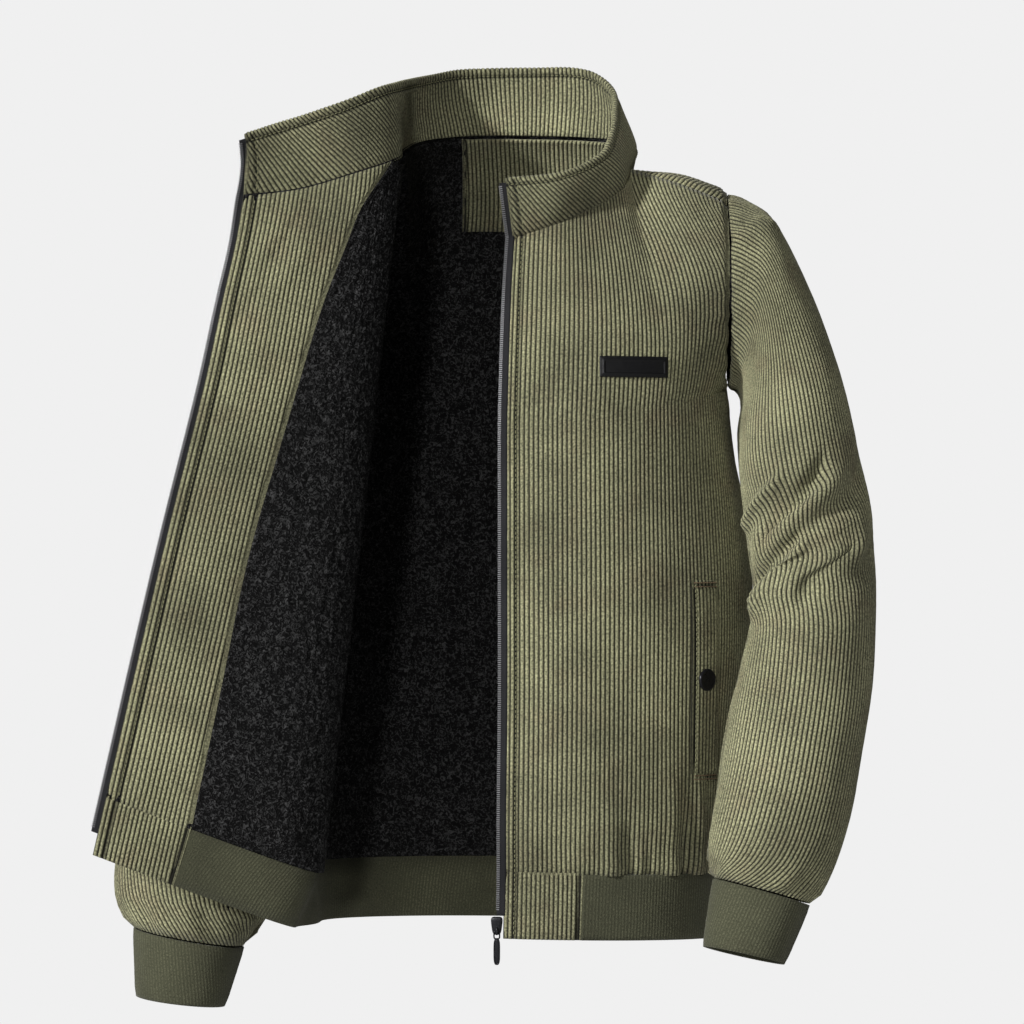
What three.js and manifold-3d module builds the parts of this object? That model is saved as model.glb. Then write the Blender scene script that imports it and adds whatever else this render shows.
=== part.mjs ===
// A zipped corduroy jacket on a hollow, filled-out form, with its right front folded open.
// Millimetres. X is the wearer's left, -Y the front, Z up. The origin lies in the middle of the
// neck hole, at the height where the shoulders carry the jacket.
import * as THREE from "three";
import Module from "manifold-3d";

// Thickness of each cloth and the gap left between two pieces at a seam.
const CORDUROY = 2.0;
const FLEECE = 3.0;
const RIB_KNIT = 2.4;
const COLLAR_CLOTH = 4.4;
const TAPE_CLOTH = 1.4;
const GAP = 0.3;
const LAYER_GAP = 0.7;

// Levels along a panel: 0 at the neck or shoulder seam, 1 at the hem seam.
const HEM_SEAM = 1;
const HEM_BOTTOM = 1.1;
const UNDERARM = 0.3;
const SHOULDER_FADE = 0.2;

// Where the shoulder seam starts along the top edge of each front and of the back.
const FRONT_NECK_SHARE = 0.6;
const BACK_SHOULDER_SHARE = 0.27;

// The armhole is an oval in an upright plane, the same on both sides.
const ARMHOLE = { x: 181, y: 6, z: -107, depth: 64, height: 83 };
const SHOULDER_SEAM_TURN = THREE.MathUtils.degToRad(29);
const SHOULDER_SAG = { y: -7, z: 2 };

// Collar from its left end round the back to its right end: seam line (b) and top edge (t).
const COLLAR_ROWS = [
  { at: 0.0, bx: -4, by: -88, bz: -66, tx: -10, ty: -94, tz: -18 },
  { at: 0.07, bx: 40, by: -80, bz: -51, tx: 34, ty: -92, tz: -14 },
  { at: 0.16, bx: 87, by: -42, bz: -24, tx: 70, ty: -66, tz: 4 },
  { at: 0.21, bx: 96, by: -15, bz: -4, tx: 79, ty: -38, tz: 22 },
  { at: 0.27, bx: 102, by: 12, bz: 14, tx: 83, ty: 0, tz: 45 },
  { at: 0.34, bx: 88, by: 50, bz: 27, tx: 82, ty: 37, tz: 69 },
  { at: 0.4, bx: 60, by: 68, bz: 32, tx: 61, ty: 64, tz: 88 },
  { at: 0.49, bx: 12, by: 75, bz: 34, tx: 12, ty: 77, tz: 91 },
  { at: 0.59, bx: -41, by: 65, bz: 33, tx: -50, ty: 66, tz: 88 },
  { at: 0.67, bx: -82, by: 34, bz: 26, tx: -84, ty: 26, tz: 78 },
  { at: 0.75, bx: -99, by: -12, bz: 14, tx: -103, ty: -24, tz: 69 },
  { at: 0.81, bx: -102, by: -50, bz: 4, tx: -119, ty: -55, tz: 62 },
  { at: 0.87, bx: -130, by: -76, bz: -9, tx: -156, ty: -86, tz: 44 },
  { at: 0.93, bx: -180, by: -86, bz: -25, tx: -196, ty: -100, tz: 30 },
  { at: 1.0, bx: -230, by: -97, bz: -32, tx: -228, ty: -111, tz: 18 },
];
const LEFT_NECK_END = 0.21;
const RIGHT_NECK_END = 0.79;

// Left front: its zip edge (x, y, z), the reach and turn of the curve that leaves it, and the point
// (sideX, sideY) that the curve heads from towards the side.
const LEFT_ROWS = [
  { at: 0.0, x: -5, y: -89, z: -66, reach: 66, turn: -2, sideX: 145, sideY: -46 },
  { at: 0.08, x: -7, y: -100, z: -107, reach: 80, turn: -6, sideX: 141, sideY: -70 },
  { at: 0.15, x: -8, y: -107, z: -146, reach: 92, turn: -9, sideX: 141, sideY: -81 },
  { at: 0.22, x: -9, y: -112, z: -184, reach: 100, turn: -9, sideX: 152, sideY: -80 },
  { at: 0.3, x: -10, y: -116, z: -226, reach: 106, turn: -8, sideX: 168, sideY: -75 },
  { at: 0.4, x: -10, y: -118, z: -280, reach: 108, turn: -7, sideX: 178, sideY: -73 },
  { at: 0.55, x: -10, y: -119, z: -360, reach: 112, turn: -6, sideX: 189, sideY: -72 },
  { at: 0.72, x: -10, y: -119, z: -451, reach: 108, turn: -5, sideX: 188, sideY: -72 },
  { at: 0.92, x: -11, y: -119, z: -558, reach: 106, turn: -6, sideX: 184, sideY: -76 },
  { at: 1.0, x: -11, y: -116, z: -601, reach: 98, turn: -3, sideX: 178, sideY: -70 },
  { at: 1.1, x: -12, y: -114, z: -655, reach: 96, turn: -3, sideX: 174, sideY: -69 },
];

// Right front: its zip edge (x, y, z), the line it folds along (fx, fy, fz), the reach of
// the rounded corner there, and the point (sideX, sideY) that the curve heads from to the side.
const RIGHT_ROWS = [
  { at: 0, x: -230, y: -97, z: -34, fx: -101, fy: -58, fz: 2, reach: 20, sideX: -150, sideY: -38 },
  { at: 0.07, x: -236, y: -101, z: -72, fx: -106, fy: -64, fz: -42, reach: 22, sideX: -150, sideY: -62 },
  { at: 0.17, x: -247, y: -107, z: -122, fx: -113, fy: -66, fz: -105, reach: 24, sideX: -154, sideY: -70 },
  { at: 0.3, x: -262, y: -113, z: -193, fx: -122, fy: -67, fz: -190, reach: 25, sideX: -174, sideY: -50 },
  { at: 0.52, x: -291, y: -119, z: -311, fx: -136, fy: -68, fz: -320, reach: 26, sideX: -179, sideY: -40 },
  { at: 0.75, x: -316, y: -121, z: -418, fx: -151, fy: -68, fz: -452, reach: 26, sideX: -178, sideY: -38 },
  { at: 0.93, x: -337, y: -123, z: -510, fx: -164, fy: -69, fz: -563, reach: 27, sideX: -177, sideY: -38 },
  { at: 1, x: -343, y: -123, z: -536, fx: -169, fy: -68, fz: -603, reach: 24, sideX: -174, sideY: -38 },
  { at: 1.1, x: -354, y: -124, z: -584, fx: -189, fy: -66, fz: -649, reach: 20, sideX: -172, sideY: -36 },
];
const FOLD_SHARE = 0.68;
const RIGHT_NECK_SHARE = 0.74;
// The turned-back cloth leaves the zip edge for a point this share of the way to the fold and this
// far forward, and comes to the fold from this many corner reaches in front of it.
const FLAP_CURVE = { share: 0.45, forward: 4, corners: 1.25 };

// Side seams from the underarm down.
const SIDE_ROWS = [
  { at: 0.3, leftX: 181, leftZ: -190, rightX: -181, rightZ: -190, y: 6 },
  { at: 0.4, leftX: 187, leftZ: -250, rightX: -183, rightZ: -250, y: 7 },
  { at: 0.47, leftX: 196, leftZ: -294, rightX: -182, rightZ: -294, y: 8 },
  { at: 0.55, leftX: 202, leftZ: -345, rightX: -182, rightZ: -345, y: 8 },
  { at: 0.68, leftX: 202, leftZ: -425, rightX: -181, rightZ: -425, y: 8 },
  { at: 0.82, leftX: 191, leftZ: -500, rightX: -180, rightZ: -500, y: 8 },
  { at: 0.93, leftX: 184, leftZ: -564, rightX: -179, rightZ: -560, y: 8 },
  { at: 1.0, leftX: 178, leftZ: -608, rightX: -175, rightZ: -600, y: 6 },
  { at: 1.1, leftX: 174, leftZ: -663, rightX: -171, rightZ: -651, y: 5 },
];
// Back: the point that its curve heads for from each side, its x a share (wide) of the side's.
const BACK_ROWS = [
  { at: 0.0, wide: 0.66, y: 86, z: -34 },
  { at: 0.08, wide: 0.64, y: 122, z: -76 },
  { at: 0.16, wide: 0.66, y: 134, z: -117 },
  { at: 0.22, wide: 0.74, y: 142, z: -148 },
  { at: 0.3, wide: 0.93, y: 157, z: -190 },
  { at: 0.4, wide: 1.0, y: 162, z: -250 },
  { at: 0.93, wide: 1.0, y: 164, z: -562 },
  { at: 1.0, wide: 1.0, y: 160, z: -603 },
  { at: 1.1, wide: 1.0, y: 158, z: -656 },
];

// Sleeves, ring by ring from the armhole to the cuff seam: outer and inner ends of the ring,
// the ring's middle y, its half depth and how far its back hangs below its front.
const LEFT_SLEEVE_ROWS = [
  { at: 0.0, outX: 181, outZ: -24, inX: 181, inZ: -190, y: 6, depth: 64, drop: 0 },
  { at: 0.04, outX: 199, outZ: -33, inX: 188, inZ: -193, y: 4, depth: 65, drop: 0 },
  { at: 0.08, outX: 215, outZ: -43, inX: 191, inZ: -197, y: 0, depth: 65, drop: 0 },
  { at: 0.13, outX: 230, outZ: -65, inX: 192, inZ: -203, y: -5, depth: 64, drop: 0 },
  { at: 0.19, outX: 246, outZ: -101, inX: 192, inZ: -211, y: -11, depth: 63, drop: 0 },
  { at: 0.26, outX: 263, outZ: -145, inX: 191, inZ: -221, y: -18, depth: 62, drop: 0 },
  { at: 0.33, outX: 276, outZ: -187, inX: 190, inZ: -237, y: -30, depth: 61, drop: 2 },
  { at: 0.4, outX: 287, outZ: -237, inX: 190, inZ: -263, y: -39, depth: 60, drop: 4 },
  { at: 0.48, outX: 297, outZ: -284, inX: 193, inZ: -292, y: -46, depth: 59, drop: 6 },
  { at: 0.56, outX: 302, outZ: -331, inX: 197, inZ: -329, y: -53, depth: 58, drop: 8 },
  { at: 0.64, outX: 303, outZ: -384, inX: 202, inZ: -376, y: -61, depth: 56, drop: 9 },
  { at: 0.72, outX: 299, outZ: -441, inX: 190, inZ: -427, y: -71, depth: 57, drop: 10 },
  { at: 0.81, outX: 290, outZ: -500, inX: 178, inZ: -479, y: -84, depth: 57, drop: 11 },
  { at: 0.89, outX: 279, outZ: -553, inX: 168, inZ: -537, y: -98, depth: 56, drop: 11 },
  { at: 0.96, outX: 264, outZ: -595, inX: 160, inZ: -584, y: -109, depth: 52, drop: 10 },
  { at: 1.0, outX: 244, outZ: -627, inX: 164, inZ: -605, y: -114, depth: 39, drop: 8 },
];
const RIGHT_SLEEVE_ROWS = [
  { at: 0.0, outX: -181, outZ: -24, inX: -181, inZ: -190, y: 6, depth: 64, drop: 0 },
  { at: 0.06, outX: -204, outZ: -36, inX: -189, inZ: -194, y: 6, depth: 65, drop: 0 },
  { at: 0.12, outX: -222, outZ: -57, inX: -192, inZ: -200, y: 7, depth: 65, drop: 0 },
  { at: 0.19, outX: -238, outZ: -95, inX: -193, inZ: -209, y: 8, depth: 65, drop: 0 },
  { at: 0.27, outX: -252, outZ: -140, inX: -192, inZ: -226, y: 9, depth: 65, drop: 0 },
  { at: 0.36, outX: -266, outZ: -196, inX: -192, inZ: -254, y: 10, depth: 65, drop: 0 },
  { at: 0.46, outX: -282, outZ: -262, inX: -192, inZ: -298, y: 11, depth: 64, drop: 0 },
  { at: 0.58, outX: -299, outZ: -344, inX: -195, inZ: -362, y: 12, depth: 62, drop: 0 },
  { at: 0.7, outX: -317, outZ: -425, inX: -203, inZ: -436, y: 12, depth: 60, drop: 0 },
  { at: 0.82, outX: -334, outZ: -510, inX: -212, inZ: -520, y: 12, depth: 60, drop: 0 },
  { at: 0.93, outX: -344, outZ: -596, inX: -216, inZ: -604, y: 11, depth: 58, drop: 0 },
  { at: 0.97, outX: -343, outZ: -628, inX: -213, inZ: -638, y: 10, depth: 52, drop: 0 },
  { at: 1.0, outX: -330, outZ: -657, inX: -236, inZ: -674, y: 10, depth: 42, drop: 0 },
];
const CUFF_ROWS = {
  left: [
    { at: 0.0, outX: 243.6, outZ: -627.5, inX: 164, inZ: -605.5, y: -114.2, depth: 38.8, drop: 8 },
    { at: 1.0, outX: 222, outZ: -675, inX: 155, inZ: -660, y: -128, depth: 35, drop: 9 },
  ],
  right: [
    { at: 0.0, outX: -329.9, outZ: -657.2, inX: -236.1, inZ: -674.2, y: 10, depth: 41.9, drop: 0 },
    { at: 1.0, outX: -328, outZ: -715, inX: -252, inZ: -724, y: 10, depth: 37, drop: 0 },
  ],
};

// Folds of the sleeves: where each runs from and to round the ring (turn, degrees from the outer
// side, front positive) and along the sleeve, its half width as a share of each, and its height.
const LEFT_FOLDS = [
  { fromTurn: 150, fromAt: 0.55, toTurn: 62, toAt: 0.46, width: 0.022, rise: 5 },
  { fromTurn: 128, fromAt: 0.575, toTurn: 20, toAt: 0.455, width: 0.03, rise: -8 },
  { fromTurn: 158, fromAt: 0.645, toTurn: 40, toAt: 0.56, width: 0.022, rise: 6 },
  { fromTurn: 175, fromAt: 0.635, toTurn: 60, toAt: 0.545, width: 0.014, rise: -6 },
  { fromTurn: 110, fromAt: 0.64, toTurn: 12, toAt: 0.565, width: 0.03, rise: -6 },
  { fromTurn: 60, fromAt: 0.02, toTurn: 20, toAt: 0.1, width: 0.02, rise: 3 },
];
const RIGHT_FOLDS = [
  { fromTurn: 150, fromAt: 0.56, toTurn: 40, toAt: 0.5, width: 0.025, rise: -5 },
  { fromTurn: 165, fromAt: 0.62, toTurn: 50, toAt: 0.57, width: 0.025, rise: -5 },
  { fromTurn: 150, fromAt: 0.955, toTurn: 100, toAt: 0.985, width: 0.015, rise: -6 },
];

// A fold begins and ends this share of its length past its two points, rising over the second.
const FOLD_END = { past: 0.25, over: 1 / 3 };

// Gathers of the body above the hem and of the sleeves above the cuffs; each has a second, longer
// wave on it, and dies out this share of the way from each side edge and from the seam.
const FRONT_GATHER = { waves: 5, height: 2.6, fade: 0.16 };
const BACK_GATHER = { waves: 8, height: 2.6, fade: 0.16 };
const CUFF_GATHER = { waves: 6, height: 2.2, fade: 0.08 };
const SECOND_WAVE = { height: 0.5, pitch: 0.6, start: 1 };
const GATHER_END = { side: 0.1, hem: 0.05, cuff: 1 / 60 };

// The back rises behind the shoulder seams before it falls.
const SHOULDER_CROWN = { rise: 12, at: 0.12, middle: 0.14, spread: 0.12 };

// Small pieces: share across the panel (u) and level (at) of each end.
const HEM_TAB_LEFT_SHARE = 0.235;
const HEM_TAB_RIGHT_SHARE = 0.2;
const FACING_ROWS = [
  { at: 0.0, u: 0.62 },
  { at: 0.06, u: 0.44 },
  { at: 0.13, u: 0.367 },
  { at: 0.22, u: 0.311 },
  { at: 0.35, u: 0.268 },
  { at: 0.55, u: 0.225 },
  { at: 0.78, u: 0.212 },
  { at: 1.0, u: 0.2 },
];
const NECK_FACING = { fromU: 0.37, toU: 0.6 };
const NECK_FACING_ROWS = 5;
const WELT = { fromX: 145, toX: 168, top: -356, bottom: -526, thick: 1.6 };
const RIGHT_WELT = { fromU: 0.47, toU: 0.55, top: 0.53, bottom: 0.85 };
const LABEL = { fromX: 68.5, toX: 125.5, top: -168, bottom: -185.5, thick: 1.2 };
const SNAP = { x: 157.8, z: -440, radius: 9.5, faceRadius: 8.2, thick: 2.6, stand: 0.5, sides: 24 };
const TAPE = { width: 5.5, collarTop: 0.08, bottom: 1.064 };
const SLIDER = { x: -17, y: -114, top: -636.6, bottom: -651.6, wide: 9, deep: 5 };
const BRIDGE = { wide: 2.4, high: 6.4, deep: 3.4, bar: 1.2, z: -648.4 };
const PULL = { wide: 6, rail: 1.2, thick: 1.2, eye: 7, end: -676.7 };

const vec = (x, y, z) => new THREE.Vector3(x, y, z);
const mix = (a, b, t) => a + (b - a) * t;
const smooth = (t) => {
  const s = THREE.MathUtils.clamp(t, 0, 1);
  return s * s * (3 - 2 * s);
};

// One column of a table at a level, as a cubic curve through its rows.
function column(rows, name, at) {
  let i = 0;
  while (i < rows.length - 2 && at > rows[i + 1].at) i++;
  const slope = (k) => {
    const a = rows[Math.max(k - 1, 0)];
    const b = rows[Math.min(k + 1, rows.length - 1)];
    return (b[name] - a[name]) / (b.at - a.at);
  };
  const span = rows[i + 1].at - rows[i].at;
  const t = (at - rows[i].at) / span;
  const t2 = t * t;
  const t3 = t2 * t;
  return (
    (2 * t3 - 3 * t2 + 1) * rows[i][name] +
    (t3 - 2 * t2 + t) * span * slope(i) +
    (3 * t2 - 2 * t3) * rows[i + 1][name] +
    (t3 - t2) * span * slope(i + 1)
  );
}

// Point of a cubic curve from a to d that leaves towards b and arrives from c.
function bow(a, b, c, d, t) {
  const s = 1 - t;
  return vec(0, 0, 0)
    .addScaledVector(a, s * s * s)
    .addScaledVector(b, 3 * s * s * t)
    .addScaledVector(c, 3 * s * t * t)
    .addScaledVector(d, t * t * t);
}

// Armhole edge: turn 0 at the top of the shoulder, a quarter turn at the front.
function armhole(side, turn) {
  return vec(
    side * ARMHOLE.x,
    ARMHOLE.y - ARMHOLE.depth * Math.sin(turn),
    ARMHOLE.z + ARMHOLE.height * Math.cos(turn),
  );
}

const neckSeam = (t) =>
  vec(column(COLLAR_ROWS, "bx", t), column(COLLAR_ROWS, "by", t), column(COLLAR_ROWS, "bz", t));
const collarTop = (t) =>
  vec(column(COLLAR_ROWS, "tx", t), column(COLLAR_ROWS, "ty", t), column(COLLAR_ROWS, "tz", t));

// Armhole and side seam as one edge: side is 1 for the left, -1 for the right, face is 1 for a
// front and -1 for the back.
function sideEdge(side, face, at) {
  if (at < UNDERARM) {
    return armhole(side, mix(SHOULDER_SEAM_TURN, face * Math.PI, at / UNDERARM));
  }
  return vec(
    column(SIDE_ROWS, side > 0 ? "leftX" : "rightX", at),
    column(SIDE_ROWS, "y", at),
    column(SIDE_ROWS, side > 0 ? "leftZ" : "rightZ", at),
  );
}

// Shoulder seam from the neck (0) to the armhole (1), sagging a little in the middle.
function shoulderSeam(side, t) {
  const neck = neckSeam(side > 0 ? LEFT_NECK_END : RIGHT_NECK_END);
  const tip = armhole(side, SHOULDER_SEAM_TURN);
  const sag = Math.sin(Math.PI * t);
  return neck.lerp(tip, t).add(vec(0, SHOULDER_SAG.y * sag, SHOULDER_SAG.z * sag));
}

// Left front's own rows: u from the zip edge to the side, at from the neck to the hem.
function leftFrontRows(u, at) {
  const row = (name) => column(LEFT_ROWS, name, at);
  const zip = vec(row("x"), row("y"), row("z"));
  const side = sideEdge(1, 1, at);
  const turn = THREE.MathUtils.degToRad(row("turn"));
  const leave = vec(Math.cos(turn), Math.sin(turn), 0).multiplyScalar(row("reach")).add(zip);
  const arrive = vec(row("sideX"), row("sideY"), mix(side.z, zip.z, 1 / 3));
  leave.z = mix(zip.z, side.z, 1 / 3);
  return bow(zip, leave, arrive, side, u);
}

// Right front's own rows: from the zip edge along the turned-back cloth to the fold corner, then
// back along the body to the side.
function rightFrontRows(u, at) {
  const row = (name) => column(RIGHT_ROWS, name, at);
  const zip = vec(row("x"), row("y"), row("z"));
  const fold = vec(row("fx"), row("fy"), row("fz"));
  if (u < FOLD_SHARE) {
    const before = fold.clone().add(vec(-1, -FLAP_CURVE.corners * row("reach"), 0));
    const after = zip.clone().lerp(before, FLAP_CURVE.share).add(vec(0, -FLAP_CURVE.forward, 0));
    return bow(zip, after, before, fold, u / FOLD_SHARE);
  }
  const side = sideEdge(-1, 1, at);
  const leave = fold.clone().add(vec(0, row("reach"), 0));
  const arrive = vec(row("sideX"), row("sideY"), side.z);
  return bow(fold, leave, arrive, side, (u - FOLD_SHARE) / (1 - FOLD_SHARE));
}

// Back's own rows: u from the left side round to the right side.
function backRows(u, at) {
  const wide = column(BACK_ROWS, "wide", at);
  const y = column(BACK_ROWS, "y", at);
  const z = column(BACK_ROWS, "z", at);
  const left = sideEdge(1, -1, at);
  const right = sideEdge(-1, -1, at);
  return bow(left, vec(left.x * wide, y, z), vec(right.x * wide, y, z), right, u);
}

// Top edges of the three panels: neck seam and shoulder seams.
function leftTop(u) {
  if (u < FRONT_NECK_SHARE) return neckSeam((u / FRONT_NECK_SHARE) * LEFT_NECK_END);
  return shoulderSeam(1, (u - FRONT_NECK_SHARE) / (1 - FRONT_NECK_SHARE));
}
function rightTop(u) {
  if (u < RIGHT_NECK_SHARE) return neckSeam(mix(1, RIGHT_NECK_END, u / RIGHT_NECK_SHARE));
  return shoulderSeam(-1, (u - RIGHT_NECK_SHARE) / (1 - RIGHT_NECK_SHARE));
}
function backTop(u) {
  const s = BACK_SHOULDER_SHARE;
  if (u < s) return shoulderSeam(1, 1 - u / s);
  if (u > 1 - s) return shoulderSeam(-1, (u - 1 + s) / s);
  return neckSeam(mix(LEFT_NECK_END, RIGHT_NECK_END, (u - s) / (1 - 2 * s)));
}

// A panel is its own rows, lifted near the top to meet the neck and shoulder seams.
function panel(rows, top, fade) {
  return (u, at) => {
    const p = rows(u, at);
    if (at < fade) p.add(top(u).sub(rows(u, 0)).multiplyScalar(1 - smooth(at / fade)));
    return p;
  };
}

// Cloth gathered over a band: waves along the seam that die out away from it.
function gather(share, distance, { waves, height, fade }) {
  const near = 1 - distance / fade;
  if (near <= 0) return 0;
  const turn = Math.PI * 2 * waves * share;
  const second = SECOND_WAVE.height * Math.sin(SECOND_WAVE.pitch * turn + SECOND_WAVE.start);
  return height * near * near * (Math.sin(turn) + second);
}

// A panel blouses out a little over its hem band, in gathers.
function bloused(surface, facing, gathers) {
  return (u, at) => {
    const p = surface(u, at);
    const sides = smooth(u / GATHER_END.side) * smooth((1 - u) / GATHER_END.side);
    const edges = sides * smooth((HEM_SEAM - at) / GATHER_END.hem);
    p.y += facing * edges * gather(u, Math.max(HEM_SEAM - at, 0), gathers);
    return p;
  };
}

// The back over the shoulders, crowned behind both shoulder seams.
function crownedBack(u, at) {
  const p = panel(backRows, backTop, SHOULDER_FADE)(u, at);
  const { rise, at: end, middle, spread } = SHOULDER_CROWN;
  if (at < end) {
    const across = (Math.min(u, 1 - u) - middle) / spread;
    p.z += rise * Math.sin((Math.PI * at) / end) * Math.exp(-across * across);
  }
  return p;
}
const leftFront = bloused(panel(leftFrontRows, leftTop, SHOULDER_FADE), -1, FRONT_GATHER);
const rightFront = bloused(panel(rightFrontRows, rightTop, 0.1), -1, FRONT_GATHER);
const back = bloused(crownedBack, 1, BACK_GATHER);

// Height of a sleeve's folds at a turn (degrees, front positive) and a level.
function foldHeight(folds, turn, at) {
  return folds.reduce((sum, f) => {
    const run = THREE.MathUtils.clamp((f.fromTurn - turn) / (f.fromTurn - f.toTurn), -1, 2);
    const line = mix(f.fromAt, f.toAt, run);
    const across = (at - line) / f.width;
    const start = smooth((run + FOLD_END.past) / FOLD_END.over);
    const end = smooth((1 + FOLD_END.past - run) / FOLD_END.over);
    return sum + f.rise * start * end * Math.exp(-across * across);
  }, 0);
}

// Tube through a table of rings: u once round from the outer side over the front.
function tube(rows, folds, gathers) {
  return (u, at) => {
    const row = (name) => column(rows, name, at);
    const turn = 2 * Math.PI * u;
    const out = vec(row("outX"), 0, row("outZ"));
    const inn = vec(row("inX"), 0, row("inZ"));
    const middle = out.clone().lerp(inn, 0.5);
    const half = out.sub(middle);
    const degrees = u > 0.5 ? 360 * (u - 1) : 360 * u;
    const swell = foldHeight(folds, degrees, at) + (gathers ? gather(u, 1 - at, gathers) : 0);
    const end = gathers ? smooth((1 - at) / GATHER_END.cuff) : 1;
    const grow = 1 + (swell * end) / row("depth");
    const depth = row("depth") * grow * Math.sin(turn);
    return middle
      .addScaledVector(half, grow * Math.cos(turn))
      .add(vec(0, row("y") - depth, (row("drop") * Math.sin(turn)) / 2));
  };
}
const leftSleeve = tube(LEFT_SLEEVE_ROWS, LEFT_FOLDS, CUFF_GATHER);
const rightSleeve = tube(RIGHT_SLEEVE_ROWS, RIGHT_FOLDS, CUFF_GATHER);

// Direction square to a surface, on the side where u runs right and at runs down seen from outside.
function squareTo(surface, u, v) {
  const e = 1e-3;
  const du = surface(u + e, v).sub(surface(u - e, v));
  const dv = surface(u, v + e).sub(surface(u, v - e));
  return dv.cross(du).normalize();
}

// Grid lines of a sheet between two values: the panel's own lines, n to the whole, and both ends.
// A line nearer to an end than this share of a division is left out.
const LEAST_DIVISION = 0.3;
function lines(n, from = 0, to = 1) {
  const inside = [];
  const first = Math.ceil(from * n + LEAST_DIVISION);
  for (let k = first; k < to * n - LEAST_DIVISION; k++) inside.push(k / n);
  return [from, ...inside, to];
}

// Closed wall on a surface: an outer skin, an inner skin and rims. The trims, in millimetres, pull
// its edges back from the seams; depth moves it off the surface; a tube is closed across.
function wall(surface, across, down, thickness, { trim = {}, depth = 0, closed = false } = {}) {
  const us = [...across];
  const vs = [...down];
  const [uEnd, vEnd] = [us.length - 1, vs.length - 1];
  const midU = (us[0] + us[uEnd]) / 2;
  const midV = (vs[0] + vs[vEnd]) / 2;
  const perWide = (us[uEnd] - us[0]) / lengthOf((t) => surface(mix(us[0], us[uEnd], t), midV));
  const perHigh = (vs[vEnd] - vs[0]) / lengthOf((t) => surface(midU, mix(vs[0], vs[vEnd], t)));
  us[0] += (trim.left ?? GAP / 2) * perWide;
  us[uEnd] -= (trim.right ?? GAP / 2) * perWide;
  vs[0] += (trim.top ?? GAP / 2) * perHigh;
  vs[vEnd] -= (trim.bottom ?? GAP / 2) * perHigh;
  if (closed) us.splice(0, us.length, ...across.slice(0, -1));
  const columns = us.length;
  const spans = closed ? columns : columns - 1;
  const positions = [];
  for (const lift of [depth + thickness / 2, depth - thickness / 2]) {
    for (const v of vs) {
      for (const u of us) {
        const p = surface(u, v).addScaledVector(squareTo(surface, u, v), lift);
        positions.push(p.x, p.y, p.z);
      }
    }
  }
  const rows = vs.length - 1;
  const index = [];
  const quad = (a, b, c, d) => index.push(a, b, c, a, c, d);
  const node = (side, i, j) => side * vs.length * columns + j * columns + (i % columns);
  for (let j = 0; j < rows; j++) {
    for (let i = 0; i < spans; i++) {
      quad(node(0, i, j), node(0, i, j + 1), node(0, i + 1, j + 1), node(0, i + 1, j));
      quad(node(1, i, j), node(1, i + 1, j), node(1, i + 1, j + 1), node(1, i, j + 1));
    }
    if (!closed) {
      quad(node(0, 0, j), node(1, 0, j), node(1, 0, j + 1), node(0, 0, j + 1));
      quad(node(0, spans, j), node(0, spans, j + 1), node(1, spans, j + 1), node(1, spans, j));
    }
  }
  for (let i = 0; i < spans; i++) {
    quad(node(0, i, 0), node(0, i + 1, 0), node(1, i + 1, 0), node(1, i, 0));
    quad(node(0, i, rows), node(1, i, rows), node(1, i + 1, rows), node(0, i + 1, rows));
  }
  return solidFrom(positions, index);
}

// Mesh geometry from points and triangles, turned to face out if its volume comes out negative.
function solidFrom(positions, index) {
  let volume = 0;
  const at = (k) => vec(positions[3 * k], positions[3 * k + 1], positions[3 * k + 2]);
  for (let k = 0; k < index.length; k += 3)
    volume += at(index[k]).dot(at(index[k + 1]).cross(at(index[k + 2])));
  if (volume < 0)
    for (let k = 0; k < index.length; k += 3)
      [index[k + 1], index[k + 2]] = [index[k + 2], index[k + 1]];
  const geometry = new THREE.BufferGeometry();
  geometry.setAttribute("position", new THREE.Float32BufferAttribute(positions, 3));
  geometry.setIndex(index);
  geometry.computeVertexNormals();
  return geometry;
}

// Solids that are joined or cut, and their way back to mesh geometry.
const solids = await Module();
solids.setup();
const { Manifold } = solids;
function fromManifold(solid) {
  const { vertProperties, triVerts } = solid.getMesh();
  return solidFrom([...vertProperties], [...triVerts]);
}

function lengthOf(curve, steps = 24) {
  let sum = 0;
  for (let i = 0; i < steps; i++) sum += curve((i + 1) / steps).distanceTo(curve(i / steps));
  return sum;
}

const CLOTH_COLOUR = "#7d7e58";
const RIB_COLOUR = "#50533b";
const FLEECE_COLOUR = "#18181a";
const TRIM_COLOUR = "#101011";
const jacket = new THREE.Group();

function add(name, geometry, colour, roughness = 0.95, metalness = 0) {
  const material = new THREE.MeshStandardMaterial({ color: colour, roughness, metalness });
  const mesh = new THREE.Mesh(geometry, material);
  mesh.name = name;
  jacket.add(mesh);
  return mesh;
}

// Body panels: columns and rows of each panel's grid, shared by what is sewn onto it.
const FRONT_COLUMNS = lines(18);
const FLAP_COLUMNS = lines(26);
const BACK_DIVISIONS = 32;
const bodyRows = [
  0, 0.015, 0.035, 0.06, 0.09, 0.13, 0.175, 0.235, 0.3, 0.385, 0.475, 0.57, 0.665, 0.76, 0.85, 0.925,
  1,
];
const frontTrim = { left: 0.4, right: 2.2, top: 0.9, bottom: 0.3 };
const backTrim = { left: 3.6, right: 3.8, top: 1.6, bottom: 0.3 };
const backColumns = lines(BACK_DIVISIONS);
const leftWall = wall(leftFront, FRONT_COLUMNS, bodyRows, CORDUROY, { trim: frontTrim });
const rightWall = wall(rightFront, FLAP_COLUMNS, bodyRows, CORDUROY, { trim: frontTrim });
add("front_left", leftWall, CLOTH_COLOUR);
add("front_right", rightWall, CLOTH_COLOUR);
add("back", wall(back, backColumns, bodyRows, CORDUROY, { trim: backTrim }), CLOTH_COLOUR);

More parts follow.
